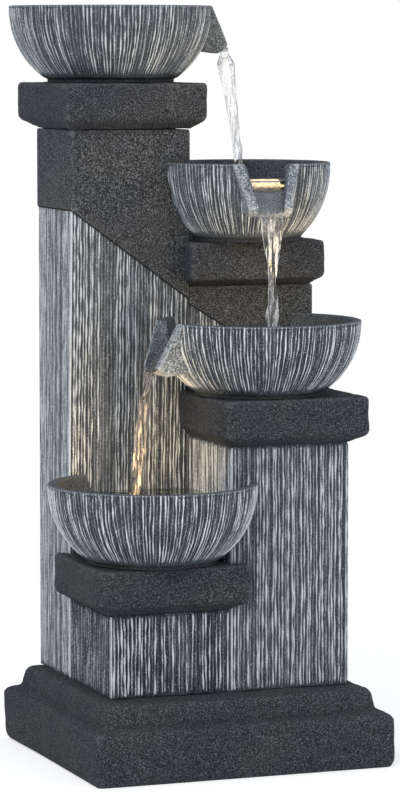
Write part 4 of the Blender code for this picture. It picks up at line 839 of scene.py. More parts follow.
@dataclass
class RibbedBlock:
    """A block whose outer faces are carved in ridges, with or without a plain cape.

    Values that come in fours go by side. The outline starts at the front right corner.
    """

    node: str
    low: tuple[float, float]
    high: tuple[float, float]
    base: float
    top: float
    carved: tuple[bool, bool, bool, bool]
    pitches: tuple[float, float, float, float]
    seed: int
    depth: float = 0.0017
    edge: float = 0.0028
    wall: float = 0.010
    cape_height: float | None = None
    cape_start: float = 0.0
    cape_slope: float = 0.0
    cape_steps: tuple[float, float, float, float] = (0.0, 0.0, 0.0, 0.0)
    lean: float = 0.0
    lean_span: tuple[float, float] = (0.0, 1.0)
    spacing: float = 0.0006
    row_step: float = 0.0030
    cape_row: float = 0.007
    cuts: tuple[tuple[Point, Point], ...] = ()
    hollow_top: float = 0.012
    finish: Finish = Finish.CARVED
    # share of the rubbed paint shown on each side; a share under 1 darkens that side as painted
    # shade
    paint: tuple[float, float, float, float] = (1.0, 1.0, 1.0, 1.0)

    def outline(self) -> tuple[np.ndarray, np.ndarray, np.ndarray, list[tuple[float, float]]]:
        """Return the plan outline.

        Returns:
            Its points, its outward directions, its face numbers, and where along the
            outline each face starts and ends.
        """
        (x0, y0), (x1, y1) = self.low, self.high
        corners = [(x1, y0), (x0, y0), (x0, y1), (x1, y1)]
        outward = [(0.0, -1.0), (-1.0, 0.0), (0.0, 1.0), (1.0, 0.0)]
        points, normals, faces, spans = [], [], [], []
        for face in range(4):
            start, end = np.array(corners[face]), np.array(corners[(face + 1) % 4])
            length = np.linalg.norm(end - start)
            along = (end - start) / length
            fine = self.spacing if self.carved[face] else 0.010
            count = max(2, round((length - 2 * self.edge) / fine))
            spans.append((len(points), len(points) + count + 1))
            for step in range(count + 1):
                reach = self.edge + (length - 2 * self.edge) * step / count
                points.append(start + along * reach)
                normals.append(np.array(outward[face]))
                faces.append(face)
            centre = end - along * self.edge - np.array(outward[face]) * self.edge
            first = math.atan2(outward[face][1], outward[face][0])
            for step in (1, 2, 3):
                angle = first - math.pi / 2 * step / 4
                direction = np.array((math.cos(angle), math.sin(angle)))
                points.append(centre + direction * self.edge)
                normals.append(direction)
                faces.append(face if step < 2 else (face + 1) % 4)
        return np.array(points), np.array(normals), np.array(faces), spans

    def cape_line(self, x: np.ndarray) -> np.ndarray:
        """Return the height of the cape's lower edge, or the block's top without one."""
        if self.cape_height is None:
            return np.full_like(x, self.top)
        return self.cape_height - self.cape_slope * (x - self.cape_start)

    def row_heights(self, line: np.ndarray) -> tuple[np.ndarray, np.ndarray, np.ndarray]:
        """Return each row's heights, how far it stands on the cape and how deep it is incised.

        Args:
            line: Height of the cape's edge at each column.

        Returns:
            Heights of shape (rows, columns), then cape shares and incision, one a row.
        """
        count = max(4, round((float(line.max()) - self.base) / self.row_step))
        shares = np.linspace(0.0, 1.0, count + 1)
        shares = np.insert(shares, [1, 1], [0.25 / count, 0.6 / count])
        rows = [(self.base + share * (line - 0.0012 - self.base), 0.0, 0.0) for share in shares]
        if self.cape_height is None:
            rows += [(line - 0.0004, 0.0, 0.0), (line, 0.0, 0.0)]
        else:
            rows += [(line + lift, share, cut) for lift, share, cut in CAPE_EDGE]
            upper = max(3, round((self.top - float(line.min())) / self.cape_row))
            start = rows[-1][0]
            rows += [(start + (self.top - 0.002 - start) * (step / upper), 1.0, 0.0)
                     for step in range(1, upper + 1)]
            rows.append((np.full_like(line, self.top), 1.0, 0.0012))
        heights, cape, incised = zip(*rows)
        return np.array(heights), np.array(cape), np.array(incised)

    def build(self) -> Object:
        """Carve the block's skin and close it to a solid.

        Returns:
            The finished piece.
        """
        plan, outward, faces, spans = self.outline()
        travel = np.concatenate([[0.0], np.cumsum(np.linalg.norm(np.diff(plan, axis=0), axis=1))])
        line = self.cape_line(plan[:, 0])
        heights, cape, incised = self.row_heights(line)
        along = heights.mean(axis=1)
        crest = np.zeros(heights.shape)
        for face in range(4):
            if not self.carved[face]:
                continue
            first, last = spans[face]
            reach = slice(first, min(last + 3, len(plan)))
            span = travel[last - 1] - travel[first]
            carving = Carving(self.pitches[face], self.seed + face * 11,
                              pinned=(0.0006, span + self.edge * 0.8))
            ridges = carving.crests(travel[reach] - travel[first], along, span)
            crest[:, reach] = np.maximum(crest[:, reach], ridges)
            if first >= 3:
                crest[:, first - 3:first] = np.maximum(crest[:, first - 3:first], 0.9)
        carved = np.array([self.carved[face] for face in faces], dtype=float)
        crest = np.where(carved[None, :] > 0.5, crest, 1.0)
        ends = smooth(heights - self.base, 0.0004, 0.0016) * smooth(
            line[None, :] - heights, 0.0004, 0.0014)
        # a side share under 1 darkens the whole side: painted shade
        shown = crest * ends * (np.array(self.paint)[faces] * (0.3 + 0.7 * carved))[None, :]
        inset = self.depth * (1.0 - crest) * (1.0 - cape[:, None]) * carved[None, :]
        inset = inset + incised[:, None] * np.where(cape[:, None] < 0.5, carved[None, :], 1.0)
        side_x = np.where(outward[:, 0] < 0, Side.LEFT, Side.RIGHT)
        side_y = np.where(outward[:, 1] < 0, Side.FRONT, Side.REAR)
        rows = np.zeros((*heights.shape, 3))
        for axis, side in enumerate((side_x, side_y)):
            stand = cape[:, None] * np.array(self.cape_steps)[side] - inset
            rows[:, :, axis] = plan[None, :, axis] + outward[None, :, axis] * stand
        rows[:, :, 2] = heights
        if self.lean:
            depth_share = (self.high[1] - plan[:, 1]) / (self.high[1] - self.low[1])
            start, end = self.lean_span
            amount = np.clip((heights - start) / (end - start), 0.0, 1.0)
            rows[:, :, 1] -= self.lean * amount * depth_share[None, :]
        obj = Bench.wrapped_grid(f"{self.node}_carved", rows, True,
                                 np.where(cape[:, None] > 0.01, 0.0, shown))
        self.hollow(obj)
        self.dress(obj)
        Bench.weather(obj, 0.0020, 0.8)
        Bench.place(obj, BODY, (self.node,), "stone_carved")
        return obj

    def hollow(self, obj: Object) -> None:
        """Cut the inside and the other openings out of the solid block."""
        (x0, y0), (x1, y1) = self.low, self.high
        tool = Bench.block("inside", (x0 + self.wall, y0 + self.wall, self.base - 0.01),
                           (x1 - self.wall, y1 - self.wall, self.top + self.hollow_top))
        Bench.cut(obj, tool)
        for low, high in self.cuts:
            Bench.cut(obj, Bench.block("opening", low, high))

    def dress(self, obj: Object) -> None:
        """Give the ridges their rubbed paint and the plain faces their sandy grain."""
        Bench.dress(obj, self.finish, Finish.CAPE)
        middle = Bench.read(obj.data.polygons, "center")
        (x0, y0), (x1, y1) = self.low, self.high
        on_cape = middle[:, 2] > self.cape_line(middle[:, 0]) - 0.0003
        inner = ((middle[:, 0] > x0 + 0.006) & (middle[:, 0] < x1 - 0.006)
                 & (middle[:, 1] > y0 + 0.006) & (middle[:, 1] < y1 - 0.006))
        plain = on_cape & (self.cape_height is not None) | inner
        if not self.carved[Side.REAR]:
            plain |= middle[:, 1] > y1 - self.edge * 0.9
        if not self.carved[Side.RIGHT]:
            plain |= middle[:, 0] > x1 - self.edge * 0.9
        Bench.cover(obj, plain, 1)
        Bench.shade(obj, 50.0)


class Zone(IntEnum):
    """The parts of a bowl's surface, in the order of its finishes."""

    CARVED = 0
    INSIDE = 1
    CHEEK = 2
    FOOT = 3
    CHANNEL = 4


@dataclass
class CarvedBowl:
    """A turned bowl with carved ridges, and a beak spout where it has one.

    The spout's angle is in degrees from X towards Y, and its drop is from the rim to the
    lip. Boxes to keep clear hold another casting, and the worn_down boxes are cut away.
    """

    node: str
    centre: tuple[float, float]
    rim: float
    radius: float
    foot_radius: float
    height: float
    seed: int
    spout_angle: float | None = None
    spout_drop: float = 0.0
    body: str = BODY
    ridges: int = 176
    depth: float = 0.0017
    wall: float = 0.010
    cavity: float = 0.045
    foot_height: float = 0.006
    floor: float = 0.007
    power: float = 2.15
    stretch: float = 1.2
    steps_per_ridge: int = 6
    outer_steps: int = 52
    first_row: float = 0.0014
    spout_reach: float = 0.0177
    lip_depth: float = 0.010
    undercut: float = 0.004
    lip_fall: float = 0.006
    channel_start: float = 0.024
    keep_clear: tuple[tuple[Point, Point], ...] = ()
    worn_down: tuple[tuple[Point, Point], ...] = ()
    finishes: tuple[Finish, ...] = (Finish.CARVED_BOWL, Finish.BOWL_INSIDE, Finish.CHEEK,
                                    Finish.FOOT, Finish.CHANNEL)

    @property
    def lowest(self) -> float:
        """The depth under the rim at which the ridges end."""
        return self.height - self.foot_height * 0.8

    @property
    def channel_inner(self) -> float:
        """The distance from the axis at which the spout's channel starts."""
        return self.radius - self.wall * 3.2

    def thickness(self, share: float) -> float:
        """Return the wall's thickness at a share of the cavity's depth."""
        return self.wall * (1.0 + 0.9 * share ** 3)

    def outer(self, depth: np.ndarray | float) -> np.ndarray | float:
        """Return the outer radius at a depth below the rim."""
        share = np.asarray(depth) / self.height / self.stretch
        return self.radius * (1.0 - share ** self.power) ** (1.0 / self.power)

    def section(self) -> list[tuple[float, float]]:
        """Return the section as radius and height under the rim, from axis to axis."""
        points = [(0.0, -self.cavity), (self.radius * 0.35, -self.cavity),
                  (self.radius * 0.60, -self.cavity), (self.radius * 0.70, -self.cavity)]
        for share in (0.97, 0.9, 0.8, 0.66, 0.5, 0.33, 0.16, 0.05):
            deep = self.cavity * share
            points.append((float(self.outer(deep)) - self.thickness(share), -deep))
        points += [(self.radius - self.wall + 0.0004, -0.0008),
                   (self.radius - self.wall + 0.0014, 0.0),
                   (self.radius - 0.0022, 0.0), (self.radius - 0.0008, -0.0005)]
        for step in range(self.outer_steps + 1):
            deep = self.first_row + (self.lowest - self.first_row) * step / self.outer_steps
            points.append((float(self.outer(deep)), -deep))
        roof = self.cavity + self.floor
        points += [(self.foot_radius + 0.002, self.foot_height * 0.7 - self.height),
                   (self.foot_radius, self.foot_height * 0.5 - self.height),
                   (self.foot_radius, -self.height), (self.foot_radius - 0.010, -self.height),
                   (float(self.outer(roof)) - self.wall * 2.0, -roof), (0.0, -roof)]
        return points

    def turn(self) -> Object:
        """Spin the section round the bowl's axis.

        Returns:
            The turned bowl, still smooth outside.
        """
        section = self.section()
        Bench.clear()
        bpy.ops.mesh.primitive_circle_add(vertices=len(section), radius=1.0)
        obj = Bench.named(f"{self.node}_carved")
        Bench.move(obj, np.array([(radius, 0.0, height) for radius, height in section]))
        Bench.edit(obj)
        bpy.ops.mesh.select_mode(type="EDGE")
        bpy.ops.mesh.select_all(action="DESELECT")
        Bench.done()
        for edge in obj.data.edges:
            edge.select = set(edge.vertices) == {0, len(section) - 1}
        bpy.ops.object.mode_set(mode="EDIT")
        bpy.ops.mesh.delete(type="EDGE")
        bpy.ops.mesh.select_mode(type="VERT")
        Bench.done()
        turns = self.ridges * self.steps_per_ridge
        Bench.apply(obj, "SCREW", steps=turns, render_steps=turns, angle=TURN,
                    use_merge_vertices=True, merge_threshold=SPIN_WELD)
        Bench.close(obj, SPIN_WELD)
        Bench.move(obj, Bench.points(obj) + np.array((*self.centre, self.rim)))
        return obj

    def carve(self, obj: Object) -> None:
        """Carve the ridges into the outside and note their crests."""
        points = Bench.points(obj)
        away = points[:, :2] - np.array(self.centre)
        radius = np.linalg.norm(away, axis=1)
        deep = self.rim - points[:, 2]
        lowest, first = self.lowest, self.first_row
        outside = (deep > first - 0.0002) & (deep < lowest + 0.0002) & (
            np.abs(radius - self.outer(np.clip(deep, 0.0, lowest))) < 0.0003)
        angle = np.arctan2(away[:, 1], away[:, 0]) % TURN
        count = self.ridges * self.steps_per_ridge
        column = np.rint(angle / TURN * count).astype(int) % count
        depths = first + (lowest - first) * np.arange(self.outer_steps + 1) / self.outer_steps
        row = np.clip(np.rint((deep - first) / (lowest - first) * self.outer_steps),
                      0, self.outer_steps).astype(int)
        span = TURN * self.radius
        carving = Carving(span / self.ridges, self.seed, wander=0.34, breadth=0.18, gaps=0.26,
                          ragged=0.003)
        heights = carving.crests(np.arange(count) * span / count, depths, span, closed=True)
        crest = np.where(outside, heights[row, column], 0.0)
        ends = smooth(deep, 0.0010, 0.0030) * smooth(lowest - deep, 0.0, 0.008)
        cut = self.depth * (1.0 - crest) * ends * outside
        slope = (self.outer(np.clip(deep + 0.001, 0, lowest)) - self.outer(
            np.clip(deep - 0.001, 0, lowest))) / 0.002
        tilt = np.sqrt(1.0 + slope ** 2)
        unit = away / np.maximum(radius, 1e-6)[:, None]
        points[:, :2] -= unit * (cut / tilt)[:, None]
        points[:, 2] -= cut * slope / tilt
        Bench.move(obj, points)
        faded = crest * smooth(lowest - deep, 0.0, 0.007)
        edge = np.where((deep < 0.0022) & (radius > self.radius - 0.0035),
                        0.25 + 0.60 * heights[2, column], 0.0)
        Bench.note(obj, "crest", np.maximum(faded, edge))

    def beak(self) -> Object:
        """Loft the beak that carries the spout.

        Returns:
            The beak as a closed solid with rounded edges.
        """
        lip = self.spout_drop
        under = lip + self.lip_depth
        sections = ((-under, self.spout_reach * 0.35, 0.0225, self.undercut),
                    (-(lip + under) / 2, self.spout_reach * 0.8, 0.0243, 0.0),
                    (-lip, self.spout_reach, 0.025, 0.0), (-lip * 0.66, 0.0118, 0.0288, 0.0),
                    (-lip * 0.33, 0.0059, 0.0335, 0.0), (0.0, 0.0, 0.038, 0.0))
        rings = []
        for height, reach, half, climb in sections:
            outer = float(self.outer(-height))
            near = outer - self.wall * 0.6
            side = math.sqrt(outer ** 2 - half ** 2) - self.wall * 0.6
            far = self.radius + reach
            cheek = math.sqrt(self.radius ** 2 - half ** 2) + reach
            plan = [(side, -half), (cheek, -half), (far, -half * 0.35), (far, half * 0.35),
                    (cheek, half), (side, half), (near, 0.0)]
            rings.append([(x, y, height + climb * (far - x) / (far - near)) for x, y in plan])
        obj = Bench.wrapped_grid(f"{self.node}_beak", np.array(rings), True)
        Bench.apply(obj, "BEVEL", width=0.0026, segments=3, limit_method="ANGLE",
                    angle_limit=math.radians(28))
        return self.turned_to_spout(obj)

    def channel(self) -> Object:
        """Loft the cutter of the spout's sloping channel.

        Returns:
            The cutter.
        """
        inner = self.channel_inner
        fall = self.spout_drop + self.lip_fall - self.channel_start
        run = self.radius + self.spout_reach - inner
        rings = []
        for place, half in ((inner, 0.023), (self.radius - self.wall * 0.5, 0.023),
                            (self.radius + self.spout_reach, 0.014),
                            (self.radius + self.spout_reach * 1.8, 0.0112)):
            deep = self.channel_start + fall * (place - inner) / run
            out = min(1.0, max(0.0, (place - self.radius) / self.spout_reach))
            edge = -out * self.spout_drop
            bend = max(edge - 0.003, 0.0046 - deep)
            flare = min(0.0035, half * 0.3)
            side = [(0.02, edge + 0.03), (flare, max(edge + 0.0012, bend + 0.001)), (0.0, bend),
                    (0.0, 0.004 - deep), (-0.0015, 0.0012 - deep), (-0.004, -deep)]
            ring = [(place, -half - grow, height) for grow, height in side]
            rings.append(ring + [(x, -y, z) for x, y, z in reversed(ring)])
        obj = Bench.wrapped_grid(f"{self.node}_channel", np.array(rings), True)
        return self.turned_to_spout(obj)

    def turned_to_spout(self, obj: Object) -> Object:
        """Carry a spout piece from the bowl's own frame to its place on the bowl."""
        angle = math.radians(self.spout_angle)
        turn = np.array([[math.cos(angle), -math.sin(angle), 0.0],
                         [math.sin(angle), math.cos(angle), 0.0], [0.0, 0.0, 1.0]])
        Bench.move(obj, Bench.points(obj) @ turn.T + np.array((*self.centre, self.rim)))
        return obj

    def dressed(self, tool: Object, zone: Zone) -> Object:
        """Give a cutter or an addition the finish of one of the bowl's zones, and return it."""
        Bench.dress(tool, *self.finishes)
        Bench.cover(tool, np.ones(len(tool.data.polygons), dtype=bool), zone)
        return tool

    def build(self) -> Object:
        """Turn, carve and dress the bowl.

        Returns:
            The finished piece.
        """
        obj = self.turn()
        self.carve(obj)
        Bench.dress(obj, *self.finishes)
        middle = Bench.read(obj.data.polygons, "center")
        radius = np.linalg.norm(middle[:, :2] - np.array(self.centre), axis=1)
        deep = self.rim - middle[:, 2]
        shell = self.outer(np.clip(deep, 0.0, self.lowest))
        Bench.cover(obj, (radius < shell - self.wall * 0.5) | (deep < 0.0003), Zone.INSIDE)
        Bench.cover(obj, deep > self.lowest, Zone.FOOT)
        if self.spout_angle is not None:
            Bench.cut(obj, self.dressed(self.beak(), Zone.CHEEK), "UNION")
            Bench.cut(obj, self.dressed(self.channel(), Zone.CHANNEL))
        for low, high in self.keep_clear:
            Bench.cut(obj, self.dressed(Bench.block("keep_clear", low, high), Zone.FOOT))
        for low, high in self.worn_down:
            Bench.cut(obj, Bench.block("worn_down", low, high))
        Bench.weather(obj, 0.0022, 0.8)
        Bench.shade(obj, 55.0)
        Bench.place(obj, self.body, (self.node,), "stone_carved")
        return obj


# ---------------------------------------------------------------- the water


@dataclass
class Pool:
    """The water that stands in a bowl, a thin rippled sheet.

    A stream stirs it at a place, its level lies under the rim, and the spill is how far it
    reaches past the inner wall. Rings run out from the stir and fade, and near the shore
    the sheet lies flat.
    """

    name: str
    bowl: CarvedBowl
    stir: tuple[float, float]
    level: float = 0.0187
    thickness: float = 0.0014
    ripple: float = 0.0007
    spill: float = -0.0004
    ring_scale: float = 0.0042
    ring_fade: float = 0.035
    swell_size: float = 0.022
    shore: float = 0.006
    rings: int = 46
    steps: int = 128

    def build(self) -> Object:
        """Spread the sheet, ripple it and cut it round the columns.

        Returns:
            The finished piece.
        """
        bowl = self.bowl
        edge = (float(bowl.outer(self.level)) - bowl.thickness(self.level / bowl.cavity)
                + self.spill)
        angle = np.arange(self.steps) * TURN / self.steps
        reach = np.concatenate([np.linspace(0.002, edge, self.rings),
                                np.linspace(edge, 0.002, 8)])
        rows = np.zeros((len(reach), self.steps, 3))
        rows[:, :, 0] = bowl.centre[0] + reach[:, None] * np.cos(angle)
        rows[:, :, 1] = bowl.centre[1] + reach[:, None] * np.sin(angle)
        away = np.hypot(rows[:, :, 0] - self.stir[0], rows[:, :, 1] - self.stir[1])
        wave = np.sin(away / self.ring_scale) * np.exp(-away / self.ring_fade)
        flat = rows.reshape(-1, 3) * np.array((1.0, 1.0, 0.0))
        swell = unevenness(flat, self.swell_size, bowl.seed).reshape(away.shape)
        lift = self.ripple * (1.3 * wave + 0.35 * swell)
        lift *= smooth(edge - reach, 0.0, self.shore)[:, None]
        rows[:, :, 2] = bowl.rim - self.level + lift
        rows[self.rings:, :, 2] -= self.thickness
        obj = Bench.wrapped_grid(self.name, rows, True)
        for low, high in bowl.keep_clear:
            Bench.cut(obj, Bench.block("keep_clear", low, high))
        Bench.dress(obj, Finish.POOL)
        Bench.shade(obj, 50.0)
        Bench.place(obj, bowl.body)
        return obj


@dataclass
class Stream:
    """Water that slides down a spout's channel and falls as a twisting sheet.

    The widths and depths (half of the thickness) are spread evenly from the lip to the
    foot. The twist is in radians, and the onset is the share of the fall that it takes.
    In the channel its middle lies a film over the floor, and a swell more at the start.
    """

    name: str
    bowl: CarvedBowl
    foot: Point
    seed: int
    widths: tuple[float, ...]
    twist: float = 1.1
    onset: float = 0.30
    depths: tuple[float, ...] = (0.0014,)
    arc: float = 0.5
    skin: float = 0.0014
    film: float = 0.0017
    swell: float = 0.0040
    channel_half: float = 0.0212
    narrowing: float = 0.0082
    channel_rows: int = 26
    rows: int = 150
    columns: int = 20
    finish: Finish = Finish.WATER

    def path(self) -> tuple[np.ndarray, np.ndarray]:
        """Return the line down the channel and through the air, and the sheet's half widths."""
        bowl = self.bowl
        angle = math.radians(bowl.spout_angle)
        ahead = np.array((math.cos(angle), math.sin(angle), 0.0))
        centre = np.array((*bowl.centre, bowl.rim))
        inner = bowl.channel_inner
        fall = bowl.spout_drop + bowl.lip_fall - bowl.channel_start
        lip_reach = bowl.radius + bowl.spout_reach
        points, halves = [], []
        for share in np.linspace(0.0, 1.0, self.channel_rows):
            reach = inner + (lip_reach - inner) * share
            floor = -(bowl.channel_start + fall * share)
            cover = self.swell * (1.0 - share) ** 2 + self.film
            points.append(centre + ahead * reach + np.array((0.0, 0.0, floor + cover)))
            narrow = max(0.0, (reach - bowl.radius + bowl.wall * 0.5)
                         / (bowl.spout_reach + bowl.wall * 0.5))
            halves.append(self.channel_half - self.narrowing * narrow)
        lip, land = points[-1], np.array(self.foot)
        knots = np.linspace(0.0, 1.0, len(self.widths))
        for share in np.linspace(0.0, 1.0, self.rows)[1:]:
            ease = share ** self.arc
            points.append(lip + (land - lip) * np.array((ease, ease, share)))
            halves.append(float(np.interp(share, knots, self.widths)) / 2)
        LOG.info("%s falls %.0f mm", self.name, (lip[2] - land[2]) * 1000)
        return np.array(points), np.array(halves)

    def build(self) -> Object:
        """Loft the sheet along its path.

        Returns:
            The stream as a closed solid, not yet riding on a body.
        """
        middle, halves = self.path()
        rng = np.random.default_rng(self.seed)
        angle = math.radians(self.bowl.spout_angle)
        across = np.array((-math.sin(angle), math.cos(angle), 0.0))
        outward = np.array((math.cos(angle), math.sin(angle), 0.0))
        round_ = np.arange(self.columns) * TURN / self.columns
        place = np.cos(round_)
        start, total = self.channel_rows, len(middle)
        rows = np.zeros((total, self.columns, 3))
        phases = rng.uniform(0.0, TURN, 6)
        knots = np.linspace(0.0, 1.0, len(self.depths))
        for index, (point, half) in enumerate(zip(middle, halves)):
            share = max(0.0, (index - start) / (total - start))
            turn = self.twist * min(1.0, share / self.onset) ** 1.5
            turn += 0.22 * math.sin(share * 7.0 + phases[0]) * share
            wide = across * math.cos(turn) + outward * math.sin(turn)
            thick = outward * math.cos(turn) - across * math.sin(turn)
            thick = thick * min(1.0, share * 60.0) + np.array((0.0, 0.0, 1.0)) * max(
                0.0, 1.0 - share * 60.0)
            rope = 0.55 + 0.9 * np.abs(place) ** 3
            rope = rope + share * 0.35 * np.sin(place * 7.0 + share * 18.0 + phases[1])
            bulk = float(np.interp(share, knots, self.depths))
            bulk = self.skin + (bulk - self.skin) * min(1.0, share * 120.0)
            depth = bulk * rope * np.sin(round_)
            depth = depth + share * 0.0011 * np.sin(place * 4.0 + share * 26.0 + phases[2])
            jitter = 1.0 + 0.10 * share * math.sin(share * 40.0 + phases[3])
            sway = 0.0009 * share * math.sin(share * 21.0 + phases[4])
            back = outward * (bulk - self.skin) * 0.55
            rows[index] = (point - back + across * sway + np.outer(place * half * jitter, wide)
                           + np.outer(depth, thick))
        fallen = np.clip((np.arange(total) - start) / (total - start), 0.0, 1.0)
        obj = Bench.wrapped_grid(self.name, rows, True,
                                 np.repeat(fallen[:, None], self.columns, axis=1), "falls")
        Bench.dress(obj, self.finish)
        Bench.shade(obj, 60.0)
        return obj


# ---------------------------------------------------------------- the stage


@dataclass(frozen=True)
class Studio:
    """Camera, lights and floor.

    The camera was fitted to the photograph with a plinth 345 mm wide, which is 350 mm here,
    and its focal length in pixels of a picture 797 pixels high. A glow is the place of a
    light, the point that it aims at and its power. The floor fades to white between two
    distances from the fountain's middle.
    """

    yaw: float = 20.6583
    pitch: float = 5.6023
    distance: float = 3.97018 * 350 / 345
    focus: Point = (0.0027175 * 350 / 345, 0.0, 0.39421 * 350 / 345)
    focal: float = 3608.53 * 36 / 797
    sky: tuple[float, ...] = (0.90, 0.94, 1.0, 1.0)
    sky_strength: float = 0.62
    aim: Point = (0.0, 0.0, 0.4)
    floor_size: float = 60.0
    floor_glow: float = 0.48
    floor_fade: tuple[float, float] = (0.30, 1.0)
    glow_colour: Colour = (1.0, 0.72, 0.36)
    glow_radius: float = 0.018
    glow_angle: float = 150.0
    glows: tuple[tuple[Point, Point, float], ...] = (
        ((0.071325, -0.022, 0.6480), (0.03, -0.02, 0.80), 0.48),
        ((0.060, -0.095, 0.4757), (0.06, 0.03, 0.565), 0.42),
        ((-0.094, -0.116, 0.3005), (-0.094, 0.035, 0.40), 1.45),
        ((0.060, -0.125, 0.546), (0.062, -0.04, 0.605), 0.26),
        ((-0.015, -0.110, 0.740), (-0.04, 0.02, 0.795), 0.14),
    )

    def build(self) -> None:
        """Set up the camera, the world, the lights and the floor."""
        self.camera()
        self.world()
        self.floor()
        self.lamp("key", (-2.25, -2.3, 2.4), 2.0, 50.0, (1.0, 0.985, 0.96))
        self.lamp("fill", (2.6, -2.2, 1.3), 2.4, 22.0, (0.93, 0.96, 1.0))
        for number, (place, aim, power) in enumerate(self.glows):
            self.glow(f"glow_{number}", place, aim, power)

    @staticmethod
    def put(name: str, data: bpy.types.ID, place: Point, ahead: Vector) -> Object:
        """Add a camera or a light at a place, looking along a direction, and return it."""
        obj = bpy.data.objects.new(name, data)
        bpy.context.scene.collection.objects.link(obj)
        obj.location = place
        obj.rotation_euler = ahead.to_track_quat("-Z", "Y").to_euler()
        return obj

    def glow(self, name: str, place: Point, aim: Point, power: float) -> None:
        """Add the warm light of one bowl's lamp, a wide cone that only its effect shows."""
        data = bpy.data.lights.new(name, "SPOT")
        data.energy = power
        data.color = self.glow_colour
        data.shadow_soft_size = self.glow_radius
        data.spot_size = math.radians(self.glow_angle)
        data.spot_blend = 1.0
        light = self.put(name, data, place, Vector(aim) - Vector(place))
        light.visible_camera = False
        light.visible_glossy = False
        light.visible_transmission = False

    def camera(self) -> None:
        """Place the camera at the photograph's angle."""
        yaw, pitch = math.radians(self.yaw), math.radians(self.pitch)
        ahead = Vector((math.sin(yaw) * math.cos(pitch), math.cos(yaw) * math.cos(pitch),
                        -math.sin(pitch)))
        data = bpy.data.cameras.new("camera")
        data.sensor_width = 36.0
        data.sensor_fit = "AUTO"
        data.lens = self.focal
        place = Vector(self.focus) - ahead * self.distance
        bpy.context.scene.camera = self.put("camera", data, place, ahead)

    def world(self) -> None:
        """Light the scene evenly and show a white background."""
        world = bpy.data.worlds.new("studio")
        world.use_nodes = True
        tree = world.node_tree
        light = tree.nodes["Background"]
        white, rays, seen, mix = (tree.nodes.new(f"ShaderNode{kind}") for kind in
                                  ("Background", "LightPath", "Math", "MixShader"))
        seen.operation = "MAXIMUM"
        light.inputs["Color"].default_value = self.sky
        light.inputs["Strength"].default_value = self.sky_strength
        white.inputs["Color"].default_value = (1.0, 1.0, 1.0, 1.0)
        for output, socket in ((rays.outputs["Is Camera Ray"], seen.inputs[0]),
                               (rays.outputs["Is Transmission Ray"], seen.inputs[1]),
                               (seen.outputs[0], mix.inputs[0]), (light.outputs[0], mix.inputs[1]),
                               (white.outputs[0], mix.inputs[2]),
                               (mix.outputs[0], tree.nodes["World Output"].inputs["Surface"])):
            tree.links.new(output, socket)
        bpy.context.scene.world = world
        bpy.context.scene.view_settings.view_transform = "Standard"

    def lamp(self, name: str, place: Point, size: float, power: float, colour: Colour) -> None:
        """Add a soft square light that points at the fountain's middle."""
        data = bpy.data.lights.new(name, "AREA")
        data.size = size
        data.energy = power
        data.color = colour
        self.put(name, data, place, Vector(self.aim) - Vector(place))

    def floor(self) -> None:
        """Lay the plain pale floor, which keeps the fountain's shadow."""
        Bench.clear()
        bpy.ops.mesh.primitive_plane_add(size=self.floor_size)
        floor = Bench.named("floor")
        w = Wiring("pale_floor")
        place = w.node("SeparateXYZ", {"Vector": w.place})
        across, deep = place.outputs["X"], place.outputs["Y"]
        far = w.calc("POWER", w.plus(w.times(across, across), w.times(deep, deep)), 0.5)
        rays = w.node("LightPath").outputs["Is Camera Ray"]
        w.finish(Base_Color=(0.85, 0.85, 0.85), Roughness=0.9, Specular_IOR_Level=0.1,
                 Emission_Color=(1.0, 1.0, 1.0),
                 Emission_Strength=w.times(rays, self.floor_glow))
        white = w.node("Emission", {"Color": (1.0, 1.0, 1.0), "Strength": 1.0})
        share = w.times(rays, w.span(far, *self.floor_fade))
        mix = w.node("MixShader", {0: share, 1: w.shader.outputs[0], 2: white.outputs[0]})
        w.tree.links.new(mix.outputs[0], w.tree.nodes["Material Output"].inputs["Surface"])
        floor.data.materials.append(w.material)


# ---------------------------------------------------------------- assembly


def kept_nodes() -> dict[str, Finish]:
    """Return the finish of each CAD node that stays as it is."""
    kept = {
        "access_door": Finish.PLAIN, "inlet_pipe": Finish.BLACK_PLASTIC,
        "drain_pipe": Finish.BLACK_PLASTIC, "drain_strainer": Finish.BLACK_PLASTIC,
        "pump_housing": Finish.BLACK_PLASTIC, "pump_cover": Finish.BLACK_PLASTIC,
        "impeller": Finish.WHITE_PLASTIC, "flow_dial": Finish.WHITE_PLASTIC,
        "impeller_magnet": Finish.MAGNET, "impeller_shaft": Finish.CERAMIC,
        "riser_tube": Finish.HOSE, "inlet_seal": Finish.RUBBER, "door_seal": Finish.RUBBER,
        "cord_grommet": Finish.RUBBER,
    }
    for corner in ("front_left", "front_right", "rear_left", "rear_right"):
        kept[f"pump_foot_{corner}"] = Finish.RUBBER
    for lamp in LAMPS:
        kept[f"{lamp}_lamp_cup"] = Finish.BLACK_PLASTIC
        kept[f"{lamp}_lamp_nut"] = Finish.BLACK_PLASTIC
        kept[f"{lamp}_lamp_lens"] = Finish.LENS
    return kept


def dress_kept(frame: dict) -> None:
    """Give the CAD nodes that stay as they are their finishes."""
    finishes = {node: finish.material() for node, finish in kept_nodes().items()}
    for lamp in LAMPS:
        node = f"{lamp}_lamp_board"
        chips = float(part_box(node)[1][2]) - 0.0004
        finishes[node] = LightBoard(f"{node}_finish", chips).make()
    for node, material in finishes.items():
        for slot in frame["nodes"][node].material_slots:
            slot.material = material
        LOG.info("%s: kept, with %s", node, material.name)


def build_slabs() -> None:
    """Cast the plinth and the ledges."""
    CastSlab("plinth", seed=3, voxel=0.0028, rounds=1,
             pulls=(((-0.170, 0.155, 0.062), (-0.0065, 0.0, 0.002), 0.070),)).build()
    CastSlab("top_ledge", TOP, seed=8).build()
    CastSlab("second_ledge", seed=13,
             pulls=(((0.035, 0.127, 0.5753), (0.0, 0.0, 0.0045), 0.022),)).build()
    CastSlab("third_ledge", seed=18).build()
    CastSlab("bottom_ledge", seed=23).build()


